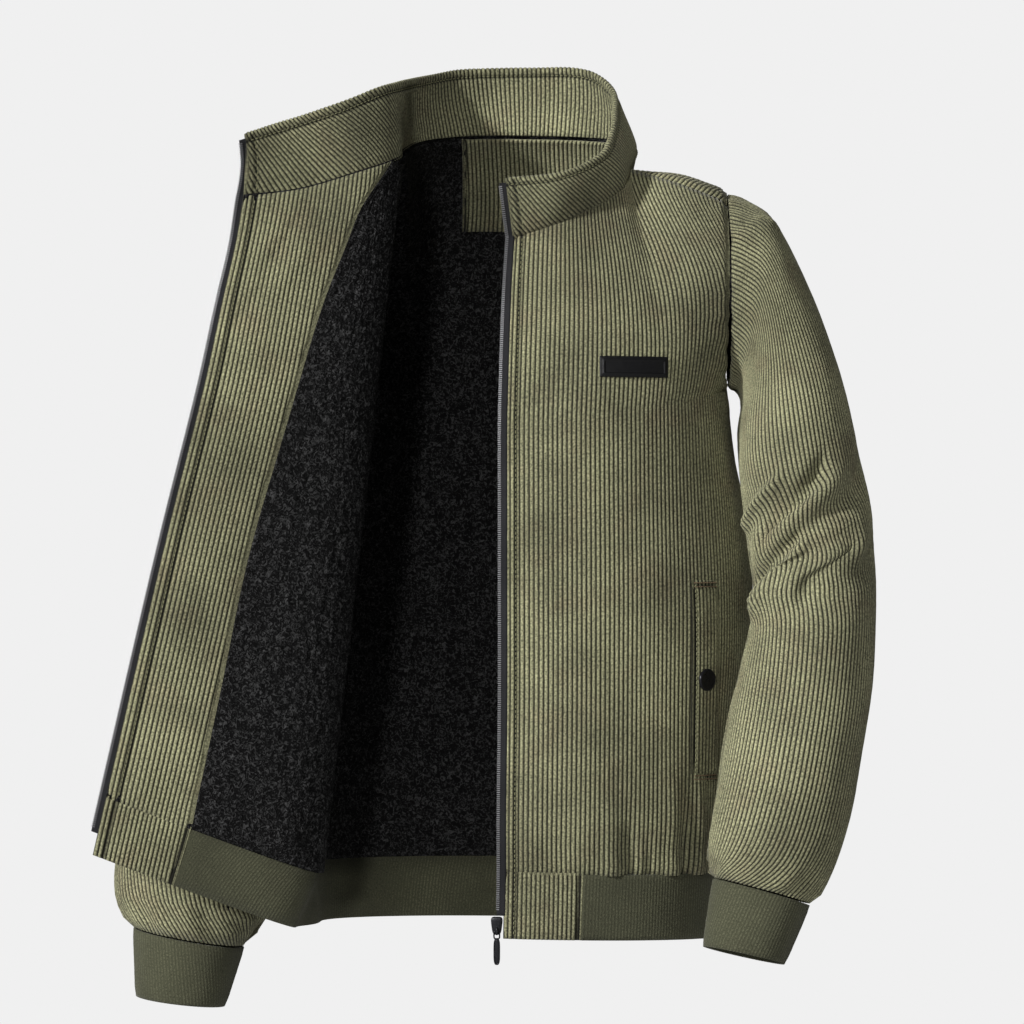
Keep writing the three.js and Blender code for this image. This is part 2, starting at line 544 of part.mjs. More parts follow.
// Sleeves and cuffs.
const sleeve = { trim: { top: 3.4, bottom: 0.4 }, closed: true };
const cuffEnd = { trim: { bottom: 0 }, closed: true };
add("sleeve_left", wall(leftSleeve, lines(22), lines(28), CORDUROY, sleeve), CLOTH_COLOUR);
add("sleeve_right", wall(rightSleeve, lines(20), lines(18), CORDUROY, sleeve), CLOTH_COLOUR);
for (const side of ["left", "right"]) {
  const cuff = tube(CUFF_ROWS[side], [], null);
  add("cuff_" + side, wall(cuff, lines(22), lines(2), RIB_KNIT, cuffEnd), RIB_COLOUR);
}

// Hem: a rib-knit band from tab to tab, and a corduroy tab at each end of it.
const HEM_STRETCHES = [
  { surface: leftFront, from: HEM_TAB_LEFT_SHARE, to: 1, end: 0.25 },
  { surface: back, from: 0, to: 1, end: 0.65 },
  { surface: rightFront, from: 1, to: HEM_TAB_RIGHT_SHARE, end: 1 },
];
function hemBand(s, t) {
  const k = s <= HEM_STRETCHES[0].end ? 0 : s <= HEM_STRETCHES[1].end ? 1 : 2;
  const { surface, from, to, end } = HEM_STRETCHES[k];
  const start = k ? HEM_STRETCHES[k - 1].end : 0;
  return surface(mix(from, to, (s - start) / (end - start)), mix(HEM_SEAM, HEM_BOTTOM, t));
}
const hemEdge = { trim: { top: 0.3, bottom: 0 } };
add("hem_rib", wall(hemBand, lines(60), lines(3), RIB_KNIT, hemEdge), RIB_COLOUR);
const tabEdge = { trim: { left: 0.4, right: 0.3, top: 0.3, bottom: 0 } };
const tabRows = lines(20, HEM_SEAM, HEM_BOTTOM);
const leftTabColumns = lines(18, 0, HEM_TAB_LEFT_SHARE);
const rightTabColumns = lines(26, 0, HEM_TAB_RIGHT_SHARE);
add("hem_tab_left", wall(leftFront, leftTabColumns, tabRows, RIB_KNIT, tabEdge), CLOTH_COLOUR);
add("hem_tab_right", wall(rightFront, rightTabColumns, tabRows, RIB_KNIT, tabEdge), CLOTH_COLOUR);

// Collar: a double band standing on the neck seam, bowed out a little at mid height.
// Past its turning point the collar lies open with the right front, so the bow changes sides.
const COLLAR_BOW = 3;
const NECK_MIDDLE_Y = -10;
const COLLAR_TURN = { from: 0.68, over: 0.1 };
function collarBand(s, t) {
  const base = neckSeam(s);
  const out = vec(base.x, base.y - NECK_MIDDLE_Y, 0).normalize();
  const side = 1 - 2 * smooth((s - COLLAR_TURN.from) / COLLAR_TURN.over);
  return collarTop(s).lerp(base, t).addScaledVector(out, side * COLLAR_BOW * Math.sin(Math.PI * t));
}
const collarEdge = { trim: { left: 0.4, right: 0.4, top: 0, bottom: 1.2 } };
add("collar", wall(collarBand, lines(44), lines(4), COLLAR_CLOTH, collarEdge), CLOTH_COLOUR);

// Fleece lining and corduroy facings, moved in from the panels that carry them. The square
// direction of the opened right front points to its lined side, that of the back away from it.
const LINING_DEPTH = CORDUROY / 2 + LAYER_GAP + FLEECE / 2;
const FACING_DEPTH = CORDUROY + LAYER_GAP;
const OVER_LINING_DEPTH = CORDUROY + 2.3 * LAYER_GAP + FLEECE;
const LINING_ALIGNED_FROM = 0.66;
const facingEdge = (at) => column(FACING_ROWS, "u", at);
const facingSheet = (u, at) => rightFront(u * facingEdge(at), at);
function liningSheet(u, at) {
  const share = u / LINING_ALIGNED_FROM;
  return rightFront(share < 1 ? mix(facingEdge(at), LINING_ALIGNED_FROM, share) : u, at);
}
add(
  "facing_right",
  wall(facingSheet, lines(8), bodyRows, CORDUROY, {
    trim: { left: 0.4, right: 0.3, top: 4, bottom: 0.6 },
    depth: FACING_DEPTH,
  }),
  CLOTH_COLOUR,
);
add(
  "lining_right",
  wall(liningSheet, FLAP_COLUMNS, bodyRows, FLEECE, {
    trim: { left: 0.3, right: 8, top: 9, bottom: 0.6 },
    depth: LINING_DEPTH,
  }),
  FLEECE_COLOUR,
);
add(
  "lining_back",
  wall(back, backColumns, bodyRows, FLEECE, {
    trim: { left: 12, right: 12, top: 8, bottom: 0.6 },
    depth: -LINING_DEPTH,
  }),
  FLEECE_COLOUR,
);
const neckFacingColumns = lines(BACK_DIVISIONS, NECK_FACING.fromU, NECK_FACING.toU);
const neckFacingRows = bodyRows.slice(0, NECK_FACING_ROWS + 1);
add(
  "back_neck_facing",
  wall(back, neckFacingColumns, neckFacingRows, CORDUROY, {
    trim: { top: 6 },
    depth: -OVER_LINING_DEPTH,
  }),
  CLOTH_COLOUR,
);

// Place (u, at) on a panel of the point that is seen from the front at x and z.
function placeOn(surface, x, z, start) {
  let [u, at] = start;
  const e = 1e-3;
  const steps = 20;
  for (let step = 0; step < steps; step++) {
    const p = surface(u, at);
    const du = surface(u + e, at).sub(p).divideScalar(e);
    const dv = surface(u, at + e).sub(p).divideScalar(e);
    const turn = du.x * dv.z - du.z * dv.x;
    u += ((x - p.x) * dv.z - (z - p.z) * dv.x) / turn;
    at += ((z - p.z) * du.x - (x - p.x) * du.z) / turn;
  }
  return [u, at];
}

// Upright oblong on a panel between two x and two z, as a sheet over 0..1 in both directions.
function oblongOn(surface, { fromX, toX, top, bottom }, start) {
  const topLeft = placeOn(surface, fromX, top, start);
  const topRight = placeOn(surface, toX, top, start);
  const bottomLeft = placeOn(surface, fromX, bottom, start);
  const bottomRight = placeOn(surface, toX, bottom, start);
  return (s, t) => {
    const [u, at] = [0, 1].map((k) =>
      mix(mix(topLeft[k], topRight[k], s), mix(bottomLeft[k], bottomRight[k], s), t),
    );
    return surface(u, at);
  };
}

// Pocket welts, chest patch and snaps, moved out from the fronts.
const onCloth = (thick) => CORDUROY / 2 + GAP + thick / 2;
const WELT_PLACE = [0.75, 0.7];
const PATCH_PLACE = [0.5, 0.25];
const leftWelt = oblongOn(leftFront, WELT, WELT_PLACE);
const rightWelt = (s, t) =>
  rightFront(mix(RIGHT_WELT.fromU, RIGHT_WELT.toU, s), mix(RIGHT_WELT.top, RIGHT_WELT.bottom, t));
const patchSheet = oblongOn(leftFront, LABEL, PATCH_PLACE);
const untrimmed = { left: 0, right: 0, top: 0, bottom: 0 };
const onLeft = (thick) => ({ trim: untrimmed, depth: onCloth(thick) + GAP });
const onRight = (thick) => ({ trim: untrimmed, depth: -onCloth(thick) });
const { thick: weltThick } = WELT;
const leftWeltWall = wall(leftWelt, lines(3), lines(10), weltThick, onLeft(weltThick));
const rightWeltWall = wall(rightWelt, lines(3), lines(10), weltThick, onRight(weltThick));
add("pocket_welt_left", leftWeltWall, CLOTH_COLOUR);
add("pocket_welt_right", rightWeltWall, CLOTH_COLOUR);
const patchWall = wall(patchSheet, lines(8), lines(2), LABEL.thick, onLeft(LABEL.thick));
add("label_patch", patchWall, TRIM_COLOUR);
function snap(name, surface, u, at, facing) {
  const out = squareTo(surface, u, at).multiplyScalar(facing);
  const height = CORDUROY / 2 + 2 * GAP + WELT.thick + SNAP.stand + SNAP.thick / 2;
  const disc = new THREE.CylinderGeometry(SNAP.faceRadius, SNAP.radius, SNAP.thick, SNAP.sides);
  const mesh = add(name, disc, TRIM_COLOUR, 0.35);
  mesh.quaternion.setFromUnitVectors(vec(0, 1, 0), out);
  mesh.position.copy(surface(u, at).addScaledVector(out, height));
}
const leftSnap = placeOn(leftFront, SNAP.x, SNAP.z, WELT_PLACE);
snap("snap_left", leftFront, ...leftSnap, 1);
const rightSnapU = (RIGHT_WELT.fromU + RIGHT_WELT.toU) / 2;
snap("snap_right", rightFront, rightSnapU, (RIGHT_WELT.top + RIGHT_WELT.bottom) / 2, -1);

// Zip tapes with their teeth, along the collar end, the front edge and the hem tab.
const TAPE_COLLAR_SHARE = 0.09;
const TAPE_REACH_BACK = { front: 0.02, collar: 0.01 };
function tapeSheet(front, collarEnd, into) {
  return (s, t) => {
    const onCollar = t < TAPE_COLLAR_SHARE;
    const down = onCollar
      ? mix(TAPE.collarTop, 1, t / TAPE_COLLAR_SHARE)
      : mix(0, TAPE.bottom, (t - TAPE_COLLAR_SHARE) / (1 - TAPE_COLLAR_SHARE));
    const edge = onCollar ? collarBand(collarEnd, down) : front(0, down);
    const inner = onCollar
      ? collarBand(collarEnd + into * TAPE_REACH_BACK.collar, down)
      : front(TAPE_REACH_BACK.front, down);
    const out = edge.clone().sub(inner).normalize();
    return edge.addScaledVector(out, TAPE.width * (1 - s));
  };
}
const tapeOptions = { trim: { left: 0, right: 0.1, top: 0, bottom: 0 } };
const leftTape = tapeSheet(leftFront, 0, 1);
const rightTape = tapeSheet(rightFront, 1, -1);
add("zip_tape_left", wall(leftTape, lines(1), lines(24), TAPE_CLOTH, tapeOptions), TRIM_COLOUR);
add("zip_tape_right", wall(rightTape, lines(1), lines(24), TAPE_CLOTH, tapeOptions), TRIM_COLOUR);

// Zip slider at the foot of the left tape: a body with a bridge on its front face.
function block(x0, x1, y0, y1, z0, z1) {
  const box = Manifold.cube([x1 - x0, y1 - y0, z1 - z0]);
  return box.translate([x0, y0, z0]);
}
const front = SLIDER.y - SLIDER.deep / 2;
const half = { slider: SLIDER.wide / 2, bridge: BRIDGE.wide / 2 };
const sliderBody = block(
  SLIDER.x - half.slider, SLIDER.x + half.slider, front, front + SLIDER.deep, SLIDER.bottom, SLIDER.top,
);
const bridgeTop = BRIDGE.z + BRIDGE.high / 2;
const bridgeFoot = BRIDGE.z - BRIDGE.high / 2;
const bridgeOutside = block(
  SLIDER.x - half.bridge, SLIDER.x + half.bridge, front - BRIDGE.deep, front + 1, bridgeFoot, bridgeTop,
);
const bridgeHole = block(
  SLIDER.x - half.slider, SLIDER.x + half.slider, front - BRIDGE.deep + BRIDGE.bar, front,
  bridgeFoot + BRIDGE.bar, bridgeTop - BRIDGE.bar,
);
const METAL = [0.35, 0.6];
const slider = sliderBody.add(bridgeOutside.subtract(bridgeHole));
add("zip_slider", fromManifold(slider), TRIM_COLOUR, ...METAL);

// Pull tab: its top bar lies in the bridge and turns there.
const pivotY = front - (BRIDGE.deep - BRIDGE.bar) / 2;
const pullTop = BRIDGE.z + PULL.thick / 2;
const pullPlate = block(
  SLIDER.x - PULL.wide / 2, SLIDER.x + PULL.wide / 2,
  pivotY - PULL.thick / 2, pivotY + PULL.thick / 2, PULL.end, pullTop,
);
const pullEye = block(
  SLIDER.x - PULL.wide / 2 + PULL.rail, SLIDER.x + PULL.wide / 2 - PULL.rail,
  pivotY - PULL.thick, pivotY + PULL.thick, pullTop - PULL.eye, pullTop - PULL.thick,
);
add("zip_pull", fromManifold(pullPlate.subtract(pullEye)), TRIM_COLOUR, ...METAL);

export default jacket;
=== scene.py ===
"""Looks of a zipped corduroy jacket, filled out with no wearer, its right front folded open.

Each piece is a surface of two parameters in the jacket's own frame. Shapes are worked out in
millimetres, X the wearer's left, -Y the front, Z up, and put into the meshes in metres.
"""
import math

import bpy
import numpy as np
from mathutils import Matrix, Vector


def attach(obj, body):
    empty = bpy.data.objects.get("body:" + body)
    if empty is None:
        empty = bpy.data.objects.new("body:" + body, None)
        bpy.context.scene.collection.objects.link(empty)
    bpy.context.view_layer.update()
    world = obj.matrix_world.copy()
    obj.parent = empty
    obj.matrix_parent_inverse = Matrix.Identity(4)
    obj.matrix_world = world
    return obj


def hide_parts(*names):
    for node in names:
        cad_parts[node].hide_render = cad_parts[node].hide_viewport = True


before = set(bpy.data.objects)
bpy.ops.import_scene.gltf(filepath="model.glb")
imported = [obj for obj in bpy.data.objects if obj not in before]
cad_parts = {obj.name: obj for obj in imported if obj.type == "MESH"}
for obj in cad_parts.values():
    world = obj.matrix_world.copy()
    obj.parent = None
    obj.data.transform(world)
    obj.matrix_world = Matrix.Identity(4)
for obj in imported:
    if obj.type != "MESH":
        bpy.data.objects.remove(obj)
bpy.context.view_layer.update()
scene = bpy.context.scene

# Camera: level and 4 m in front, with a long lens, as the jacket is photographed.
camera_data = bpy.data.cameras.new("camera")
camera_data.lens = 163.5
camera_data.sensor_width = 36
camera = bpy.data.objects.new("camera", camera_data)
camera.location = (-0.0043, -4.0, -0.2984)
camera.rotation_euler = (math.pi / 2, 0, 0)
scene.collection.objects.link(camera)
scene.camera = camera

# Body panels: fronts and back of wide-wale cotton corduroy, cut and sewn at the shoulders and
# sides, eased on to the hem band. This section holds their cut: the right front is folded open.
CORDUROY = 2.0
LAYER_GAP = 0.7
FLEECE = 3.0
HEM_SEAM = 1.0
HEM_BOTTOM = 1.1
UNDERARM = 0.3
SHOULDER_FADE = 0.2
FRONT_NECK_SHARE = 0.6
BACK_SHOULDER_SHARE = 0.27
FOLD_SHARE = 0.68
RIGHT_NECK_SHARE = 0.74
LEFT_NECK_END = 0.21
RIGHT_NECK_END = 0.79
SEAM_TURN = math.radians(29)


def table(names, *rows):
    """Named columns from rows of numbers; the column named at is the level the rest go with."""
    return dict(zip(names.split(), np.array(rows, float).T))


COLLAR_ROWS = table(
    "at bx by bz tx ty tz",
    (0.0, -4, -88, -66, -10, -94, -18),
    (0.07, 40, -80, -51, 34, -92, -14),
    (0.16, 87, -42, -24, 70, -66, 4),
    (0.21, 96, -15, -4, 79, -38, 22),
    (0.27, 102, 12, 14, 83, 0, 45),
    (0.34, 88, 50, 27, 82, 37, 69),
    (0.4, 60, 68, 32, 61, 64, 88),
    (0.49, 12, 75, 34, 12, 77, 91),
    (0.59, -41, 65, 33, -50, 66, 88),
    (0.67, -82, 34, 26, -84, 26, 78),
    (0.75, -99, -12, 14, -103, -24, 69),
    (0.81, -102, -50, 4, -119, -55, 62),
    (0.87, -130, -76, -9, -156, -86, 44),
    (0.93, -180, -86, -25, -196, -100, 30),
    (1.0, -230, -97, -32, -228, -111, 18),
)
LEFT_ROWS = table(
    "at x y z reach turn side_x side_y",
    (0.0, -5, -89, -66, 66, -2, 145, -46),
    (0.08, -7, -100, -107, 80, -6, 141, -70),
    (0.15, -8, -107, -146, 92, -9, 141, -81),
    (0.22, -9, -112, -184, 100, -9, 152, -80),
    (0.3, -10, -116, -226, 106, -8, 168, -75),
    (0.4, -10, -118, -280, 108, -7, 178, -73),
    (0.55, -10, -119, -360, 112, -6, 189, -72),
    (0.72, -10, -119, -451, 108, -5, 188, -72),
    (0.92, -11, -119, -558, 106, -6, 184, -76),
    (1.0, -11, -116, -601, 98, -3, 178, -70),
    (1.1, -12, -114, -655, 96, -3, 174, -69),
)
RIGHT_ROWS = table(
    "at x y z fx fy fz reach side_x side_y",
    (0.0, -230, -97, -34, -101, -58, 2, 20, -150, -38),
    (0.07, -236, -101, -72, -106, -64, -42, 22, -150, -62),
    (0.17, -247, -107, -122, -113, -66, -105, 24, -154, -70),
    (0.3, -262, -113, -193, -122, -67, -190, 25, -174, -50),
    (0.52, -291, -119, -311, -136, -68, -320, 26, -179, -40),
    (0.75, -316, -121, -418, -151, -68, -452, 26, -178, -38),
    (0.93, -337, -123, -510, -164, -69, -563, 27, -177, -38),
    (1.0, -343, -123, -536, -169, -68, -603, 24, -174, -38),
    (1.1, -354, -124, -584, -189, -66, -649, 20, -172, -36),
)
SIDE_ROWS = table(
    "at left_x left_z right_x right_z y",
    (0.3, 181, -190, -181, -190, 6),
    (0.4, 187, -250, -183, -250, 7),
    (0.47, 196, -294, -182, -294, 8),
    (0.55, 202, -345, -182, -345, 8),
    (0.68, 202, -425, -181, -425, 8),
    (0.82, 191, -500, -180, -500, 8),
    (0.93, 184, -564, -179, -560, 8),
    (1.0, 178, -608, -175, -600, 6),
    (1.1, 174, -663, -171, -651, 5),
)
BACK_ROWS = table(
    "at wide y z",
    (0.0, 0.66, 86, -34),
    (0.08, 0.64, 122, -76),
    (0.16, 0.66, 134, -117),
    (0.22, 0.74, 142, -148),
    (0.3, 0.93, 157, -190),
    (0.4, 1.0, 162, -250),
    (0.93, 1.0, 164, -562),
    (1.0, 1.0, 160, -603),
    (1.1, 1.0, 158, -656),
)


def vec(x, y, z):
    """Points from three arrays of coordinates that broadcast together."""
    return np.stack(np.broadcast_arrays(x, y, z), -1).astype(float)


def together(*values):
    """Numbers or arrays as arrays of one common shape."""
    return np.broadcast_arrays(*(np.asarray(value, float) for value in values))


def unit(v):
    """Vectors at length one."""
    return v / np.maximum(np.linalg.norm(v, axis=-1, keepdims=True), 1e-9)


def run_along(path):
    """Distance along a path of points, 0 at its first point."""
    return np.r_[0, np.cumsum(np.linalg.norm(np.diff(path, axis=0), axis=-1))]


def run_across(surface, fine, levels):
    """Distance across a surface at each level, 0 at the first of the fine steps."""
    step = np.linalg.norm(np.diff(surface(fine[None, :], levels[:, None]), axis=1), axis=-1)
    return np.concatenate([np.zeros((len(levels), 1)), np.cumsum(step, axis=1)], axis=1)


def mix(a, b, t):
    """The straight blend a + (b - a) t."""
    return a + (b - a) * t


def smooth(t):
    """Smooth step from 0 to 1: 3 t squared less 2 t cubed."""
    t = np.clip(t, 0.0, 1.0)
    return t * t * (3 - 2 * t)


def bell(distance, width):
    """Smooth bump: 1 where the distance is 0, down to 0.37 one width away."""
    return np.exp(-((distance / width) ** 2))


def column(rows, name, at):
    """Cubic curve through a column: a row's slope is that between the rows on its two sides."""
    x, y = rows["at"], rows[name]
    before = np.r_[0, np.arange(len(x) - 1)]
    after = np.r_[np.arange(1, len(x)), len(x) - 1]
    slope = (y[after] - y[before]) / (x[after] - x[before])
    i = np.clip(np.searchsorted(x, at, side="left") - 1, 0, len(x) - 2)
    span = x[i + 1] - x[i]
    t = (at - x[i]) / span
    t2, t3 = t * t, t * t * t
    start = (2 * t3 - 3 * t2 + 1) * y[i] + (t3 - 2 * t2 + t) * span * slope[i]
    return start + (3 * t2 - 2 * t3) * y[i + 1] + (t3 - t2) * span * slope[i + 1]


def columns(rows, names, at):
    """Points whose x, y and z are the curves through three columns."""
    return vec(*(column(rows, name, at) for name in names.split()))


def bow(a, b, c, d, t):
    """Cubic curve from a to d that leaves towards b and arrives from c."""
    t = np.asarray(t)[..., None]
    s = 1 - t
    return s**3 * a + 3 * s * s * t * b + 3 * s * t * t * c + t**3 * d


def neck_seam(t):
    """Seam line of the collar, a cubic curve through the collar table's base points."""
    return columns(COLLAR_ROWS, "bx by bz", t)


def collar_top(t):
    """Top edge of the collar, a cubic curve through the collar table's top points."""
    return columns(COLLAR_ROWS, "tx ty tz", t)


def armhole(side, turn):
    """Upright oval 64 by 83 mm in half size, turn 0 at its top and a quarter turn at the front."""
    return vec(side * 181.0, 6 - 64 * np.sin(turn), -107 + 83 * np.cos(turn))


def side_edge(side, face, at):
    """Armhole down to the underarm, then the side seam; face is 1 for a front, -1 for the back."""
    hand = "left" if side > 0 else "right"
    hole = armhole(side, mix(SEAM_TURN, face * math.pi, at / UNDERARM))
    seam = columns(SIDE_ROWS, f"{hand}_x y {hand}_z", at)
    return np.where((at < UNDERARM)[..., None], hole, seam)


def shoulder_seam(side, t):
    """Line from the neck to the armhole, 7 mm forward and 2 mm up in its middle."""
    neck = neck_seam(np.array(LEFT_NECK_END if side > 0 else RIGHT_NECK_END))
    tip = armhole(side, np.array(SEAM_TURN))
    sag = np.sin(math.pi * t)
    return neck + (tip - neck) * t[..., None] + vec(0, -7 * sag, 2 * sag)


def left_rows(u, at):
    """Across the left front, a bow from the zip edge to the side."""
    zip_edge = columns(LEFT_ROWS, "x y z", at)
    side = side_edge(1, 1, at)
    turn = np.radians(column(LEFT_ROWS, "turn", at))
    reach = column(LEFT_ROWS, "reach", at)
    leave = zip_edge + vec(np.cos(turn) * reach, np.sin(turn) * reach, 0)
    leave[..., 2] = mix(zip_edge[..., 2], side[..., 2], 1 / 3)
    x, y = column(LEFT_ROWS, "side_x", at), column(LEFT_ROWS, "side_y", at)
    arrive = vec(x, y, mix(side[..., 2], zip_edge[..., 2], 1 / 3))
    return bow(zip_edge, leave, arrive, side, u)


def right_rows(u, at):
    """Across the right front: a bow from the zip edge to the fold, another on to the side."""
    zip_edge = columns(RIGHT_ROWS, "x y z", at)
    fold = columns(RIGHT_ROWS, "fx fy fz", at)
    reach = column(RIGHT_ROWS, "reach", at)
    before = fold + vec(-1, -1.25 * reach, 0)
    after = zip_edge + (before - zip_edge) * 0.45 + vec(0, -4, 0)
    flap = bow(zip_edge, after, before, fold, u / FOLD_SHARE)
    side = side_edge(-1, 1, at)
    leave = fold + vec(0, reach, 0)
    arrive = vec(column(RIGHT_ROWS, "side_x", at), column(RIGHT_ROWS, "side_y", at), side[..., 2])
    body = bow(fold, leave, arrive, side, (u - FOLD_SHARE) / (1 - FOLD_SHARE))
    return np.where((u < FOLD_SHARE)[..., None], flap, body)


def back_rows(u, at):
    """Across the back, a bow from the left side round to the right side."""
    wide, y, z = (column(BACK_ROWS, name, at) for name in ("wide", "y", "z"))
    left, right = side_edge(1, -1, at), side_edge(-1, -1, at)
    return bow(left, vec(left[..., 0] * wide, y, z), vec(right[..., 0] * wide, y, z), right, u)


def left_top(u):
    """Top edge of the left front: neck seam, then shoulder seam."""
    neck = neck_seam(u / FRONT_NECK_SHARE * LEFT_NECK_END)
    seam = shoulder_seam(1, (u - FRONT_NECK_SHARE) / (1 - FRONT_NECK_SHARE))
    return np.where((u < FRONT_NECK_SHARE)[..., None], neck, seam)


def right_top(u):
    """Top edge of the right front: neck seam, then shoulder seam."""
    neck = neck_seam(mix(1.0, RIGHT_NECK_END, u / RIGHT_NECK_SHARE))
    seam = shoulder_seam(-1, (u - RIGHT_NECK_SHARE) / (1 - RIGHT_NECK_SHARE))
    return np.where((u < RIGHT_NECK_SHARE)[..., None], neck, seam)


def back_top(u):
    """Top edge of the back: shoulder seam, neck seam, shoulder seam."""
    s = BACK_SHOULDER_SHARE
    neck = neck_seam(mix(LEFT_NECK_END, RIGHT_NECK_END, (u - s) / (1 - 2 * s)))
    edge = np.where((u < s)[..., None], shoulder_seam(1, 1 - u / s), neck)
    return np.where((u > 1 - s)[..., None], shoulder_seam(-1, (u - 1 + s) / s), edge)


def gather(share, distance, waves, height, fade):
    """Waves along a seam that die out away from it, with a second wave of lower pitch on them."""
    near = np.clip(1 - distance / fade, 0, 1)
    turn = 2 * math.pi * waves * share
    return height * near * near * (np.sin(turn) + 0.5 * np.sin(0.6 * turn + 1))


def panel(rows, top, fade, facing, gathers):
    """A panel's rows, lifted near the top to meet its seams there and gathered at the hem."""

    def surface(u, at):
        u, at = together(u, at)
        points = rows(u, at)
        lift = 1 - smooth(at / fade)
        points = points + (top(u) - rows(u, np.zeros_like(at))) * lift[..., None]
        if rows is back_rows:
            # the back stands up to 12 mm higher over each shoulder, just behind its seam
            rise = 12 * np.sin(math.pi * np.clip(at / 0.12, 0, 1))
            points[..., 2] += rise * bell(np.minimum(u, 1 - u) - 0.14, 0.12)
        sides = smooth(u / 0.1) * smooth((1 - u) / 0.1) * smooth((HEM_SEAM - at) / 0.05)
        above = np.maximum(HEM_SEAM - at, 0)
        points[..., 1] += facing * sides * gather(u, above, *gathers)
        return points

    return surface


left_front = panel(left_rows, left_top, SHOULDER_FADE, -1, (5, 2.6, 0.16))
right_front = panel(right_rows, right_top, 0.1, -1, (5, 2.6, 0.16))
back = panel(back_rows, back_top, SHOULDER_FADE, 1, (8, 2.6, 0.16))


def square_to(surface, u, v):
    """Unit direction square to a surface: how it runs down crossed with how it runs across."""
    e = 1e-3
    across = surface(u + e, v) - surface(u - e, v)
    down = surface(u, v + e) - surface(u, v - e)
    return unit(np.cross(down, across))


# Four columns to a wale: its groove, its two shoulders and its crest.
WALE_PHASES = np.array([0.0, 0.2, 0.5, 0.8])
WALE_HEIGHTS = np.array([0.0, 0.68, 1.0, 0.68])
SQUEEZE = 4.0


def wales(surface, levels, pitch, centre, reach, trim):
    """Columns that keep one pitch, measured across each level from centre, a share of the width.

    Wales that a seam cuts off are squeezed, and flattened, into the last 4 mm before it. Returns
    the panel's u, the wale height, the pile's share and the distance across, for each level.
    """
    fine = np.linspace(reach[0], reach[1], 241)
    run = run_across(surface, fine, levels)
    width = run[:, -1:]
    right = width * (1 - centre) - trim[1]
    left = width * centre - trim[0]
    count = [math.ceil(float(side.max()) / pitch) for side in (left, right)]
    places = (np.arange(-count[0], count[1])[:, None] + WALE_PHASES).ravel() * pitch
    places = np.r_[places, count[1] * pitch][None, :]
    height = np.r_[np.tile(WALE_HEIGHTS, sum(count)), 0.0]

    def squeezed(place, room, most):
        """Distance held to the room there is, the rest squeezed in, and the squeeze's share."""
        over = np.maximum(most - room, 0)
        share = SQUEEZE / (SQUEEZE + over)
        inside = np.maximum(place - (room - SQUEEZE), 0)
        held = np.where(inside > 0, room - SQUEEZE + inside * share, place)
        return held, np.where(inside > 0, share, 1.0)

    to_right, thin_right = squeezed(np.maximum(places, 0), right, count[1] * pitch)
    to_left, thin_left = squeezed(np.maximum(-places, 0), left, count[0] * pitch)
    across = to_right - to_left
    keep = smooth(np.minimum(thin_right, thin_left) * 1.25 - 0.2)
    pile = mix(0.6, height[None, :], keep)
    height = height * keep
    offset = width * centre
    u = np.stack([np.interp(a + o, r, fine) for a, o, r in zip(across, offset[:, 0], run)])
    return u, height, pile, across


def mesh_of(name, points, faces, inside=(), pile=None, run=None, finishes=()):
    """Closed smooth mesh from points in millimetres; its faces are turned out by its volume."""
    points = np.asarray(points, float) * 0.001
    volume = 0.0
    for count in sorted({len(f) for f in faces}):
        block = np.array([f for f in faces if len(f) == count])
        for k in range(1, count - 1):
            a, b, c = points[block[:, 0]], points[block[:, k]], points[block[:, k + 1]]
            volume += float(np.einsum("ij,ij->", a, np.cross(b, c)))
    if volume < 0:
        faces = [f[::-1] for f in faces]
    mesh = bpy.data.meshes.new(name)
    mesh.from_pydata(points.tolist(), [], faces)
    mesh.polygons.foreach_set("use_smooth", np.ones(len(faces), bool))
    if len(inside):
        mesh.polygons.foreach_set("material_index", np.asarray(inside, np.int32))
    if pile is not None:
        layer = mesh.attributes.new("pile", "FLOAT", "POINT")
        layer.data.foreach_set("value", np.asarray(pile, np.float32).ravel())
    if run is not None:
        layer = mesh.attributes.new("run", "FLOAT_VECTOR", "POINT")
        layer.data.foreach_set("vector", (np.asarray(run) * 0.001).astype(np.float32).ravel())
    for finish in finishes:
        mesh.materials.append(finish)
    mesh.update()
    piece = bpy.data.objects.new(name, mesh)
    scene.collection.objects.link(piece)
    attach(piece, "jacket")
    return piece


def grid_quads(index):
    """Quads of a grid of point numbers."""
    a, b, c, d = index[:-1, :-1], index[1:, :-1], index[1:, 1:], index[:-1, 1:]
    return np.stack([a.ravel(), b.ravel(), c.ravel(), d.ravel()], 1).tolist()


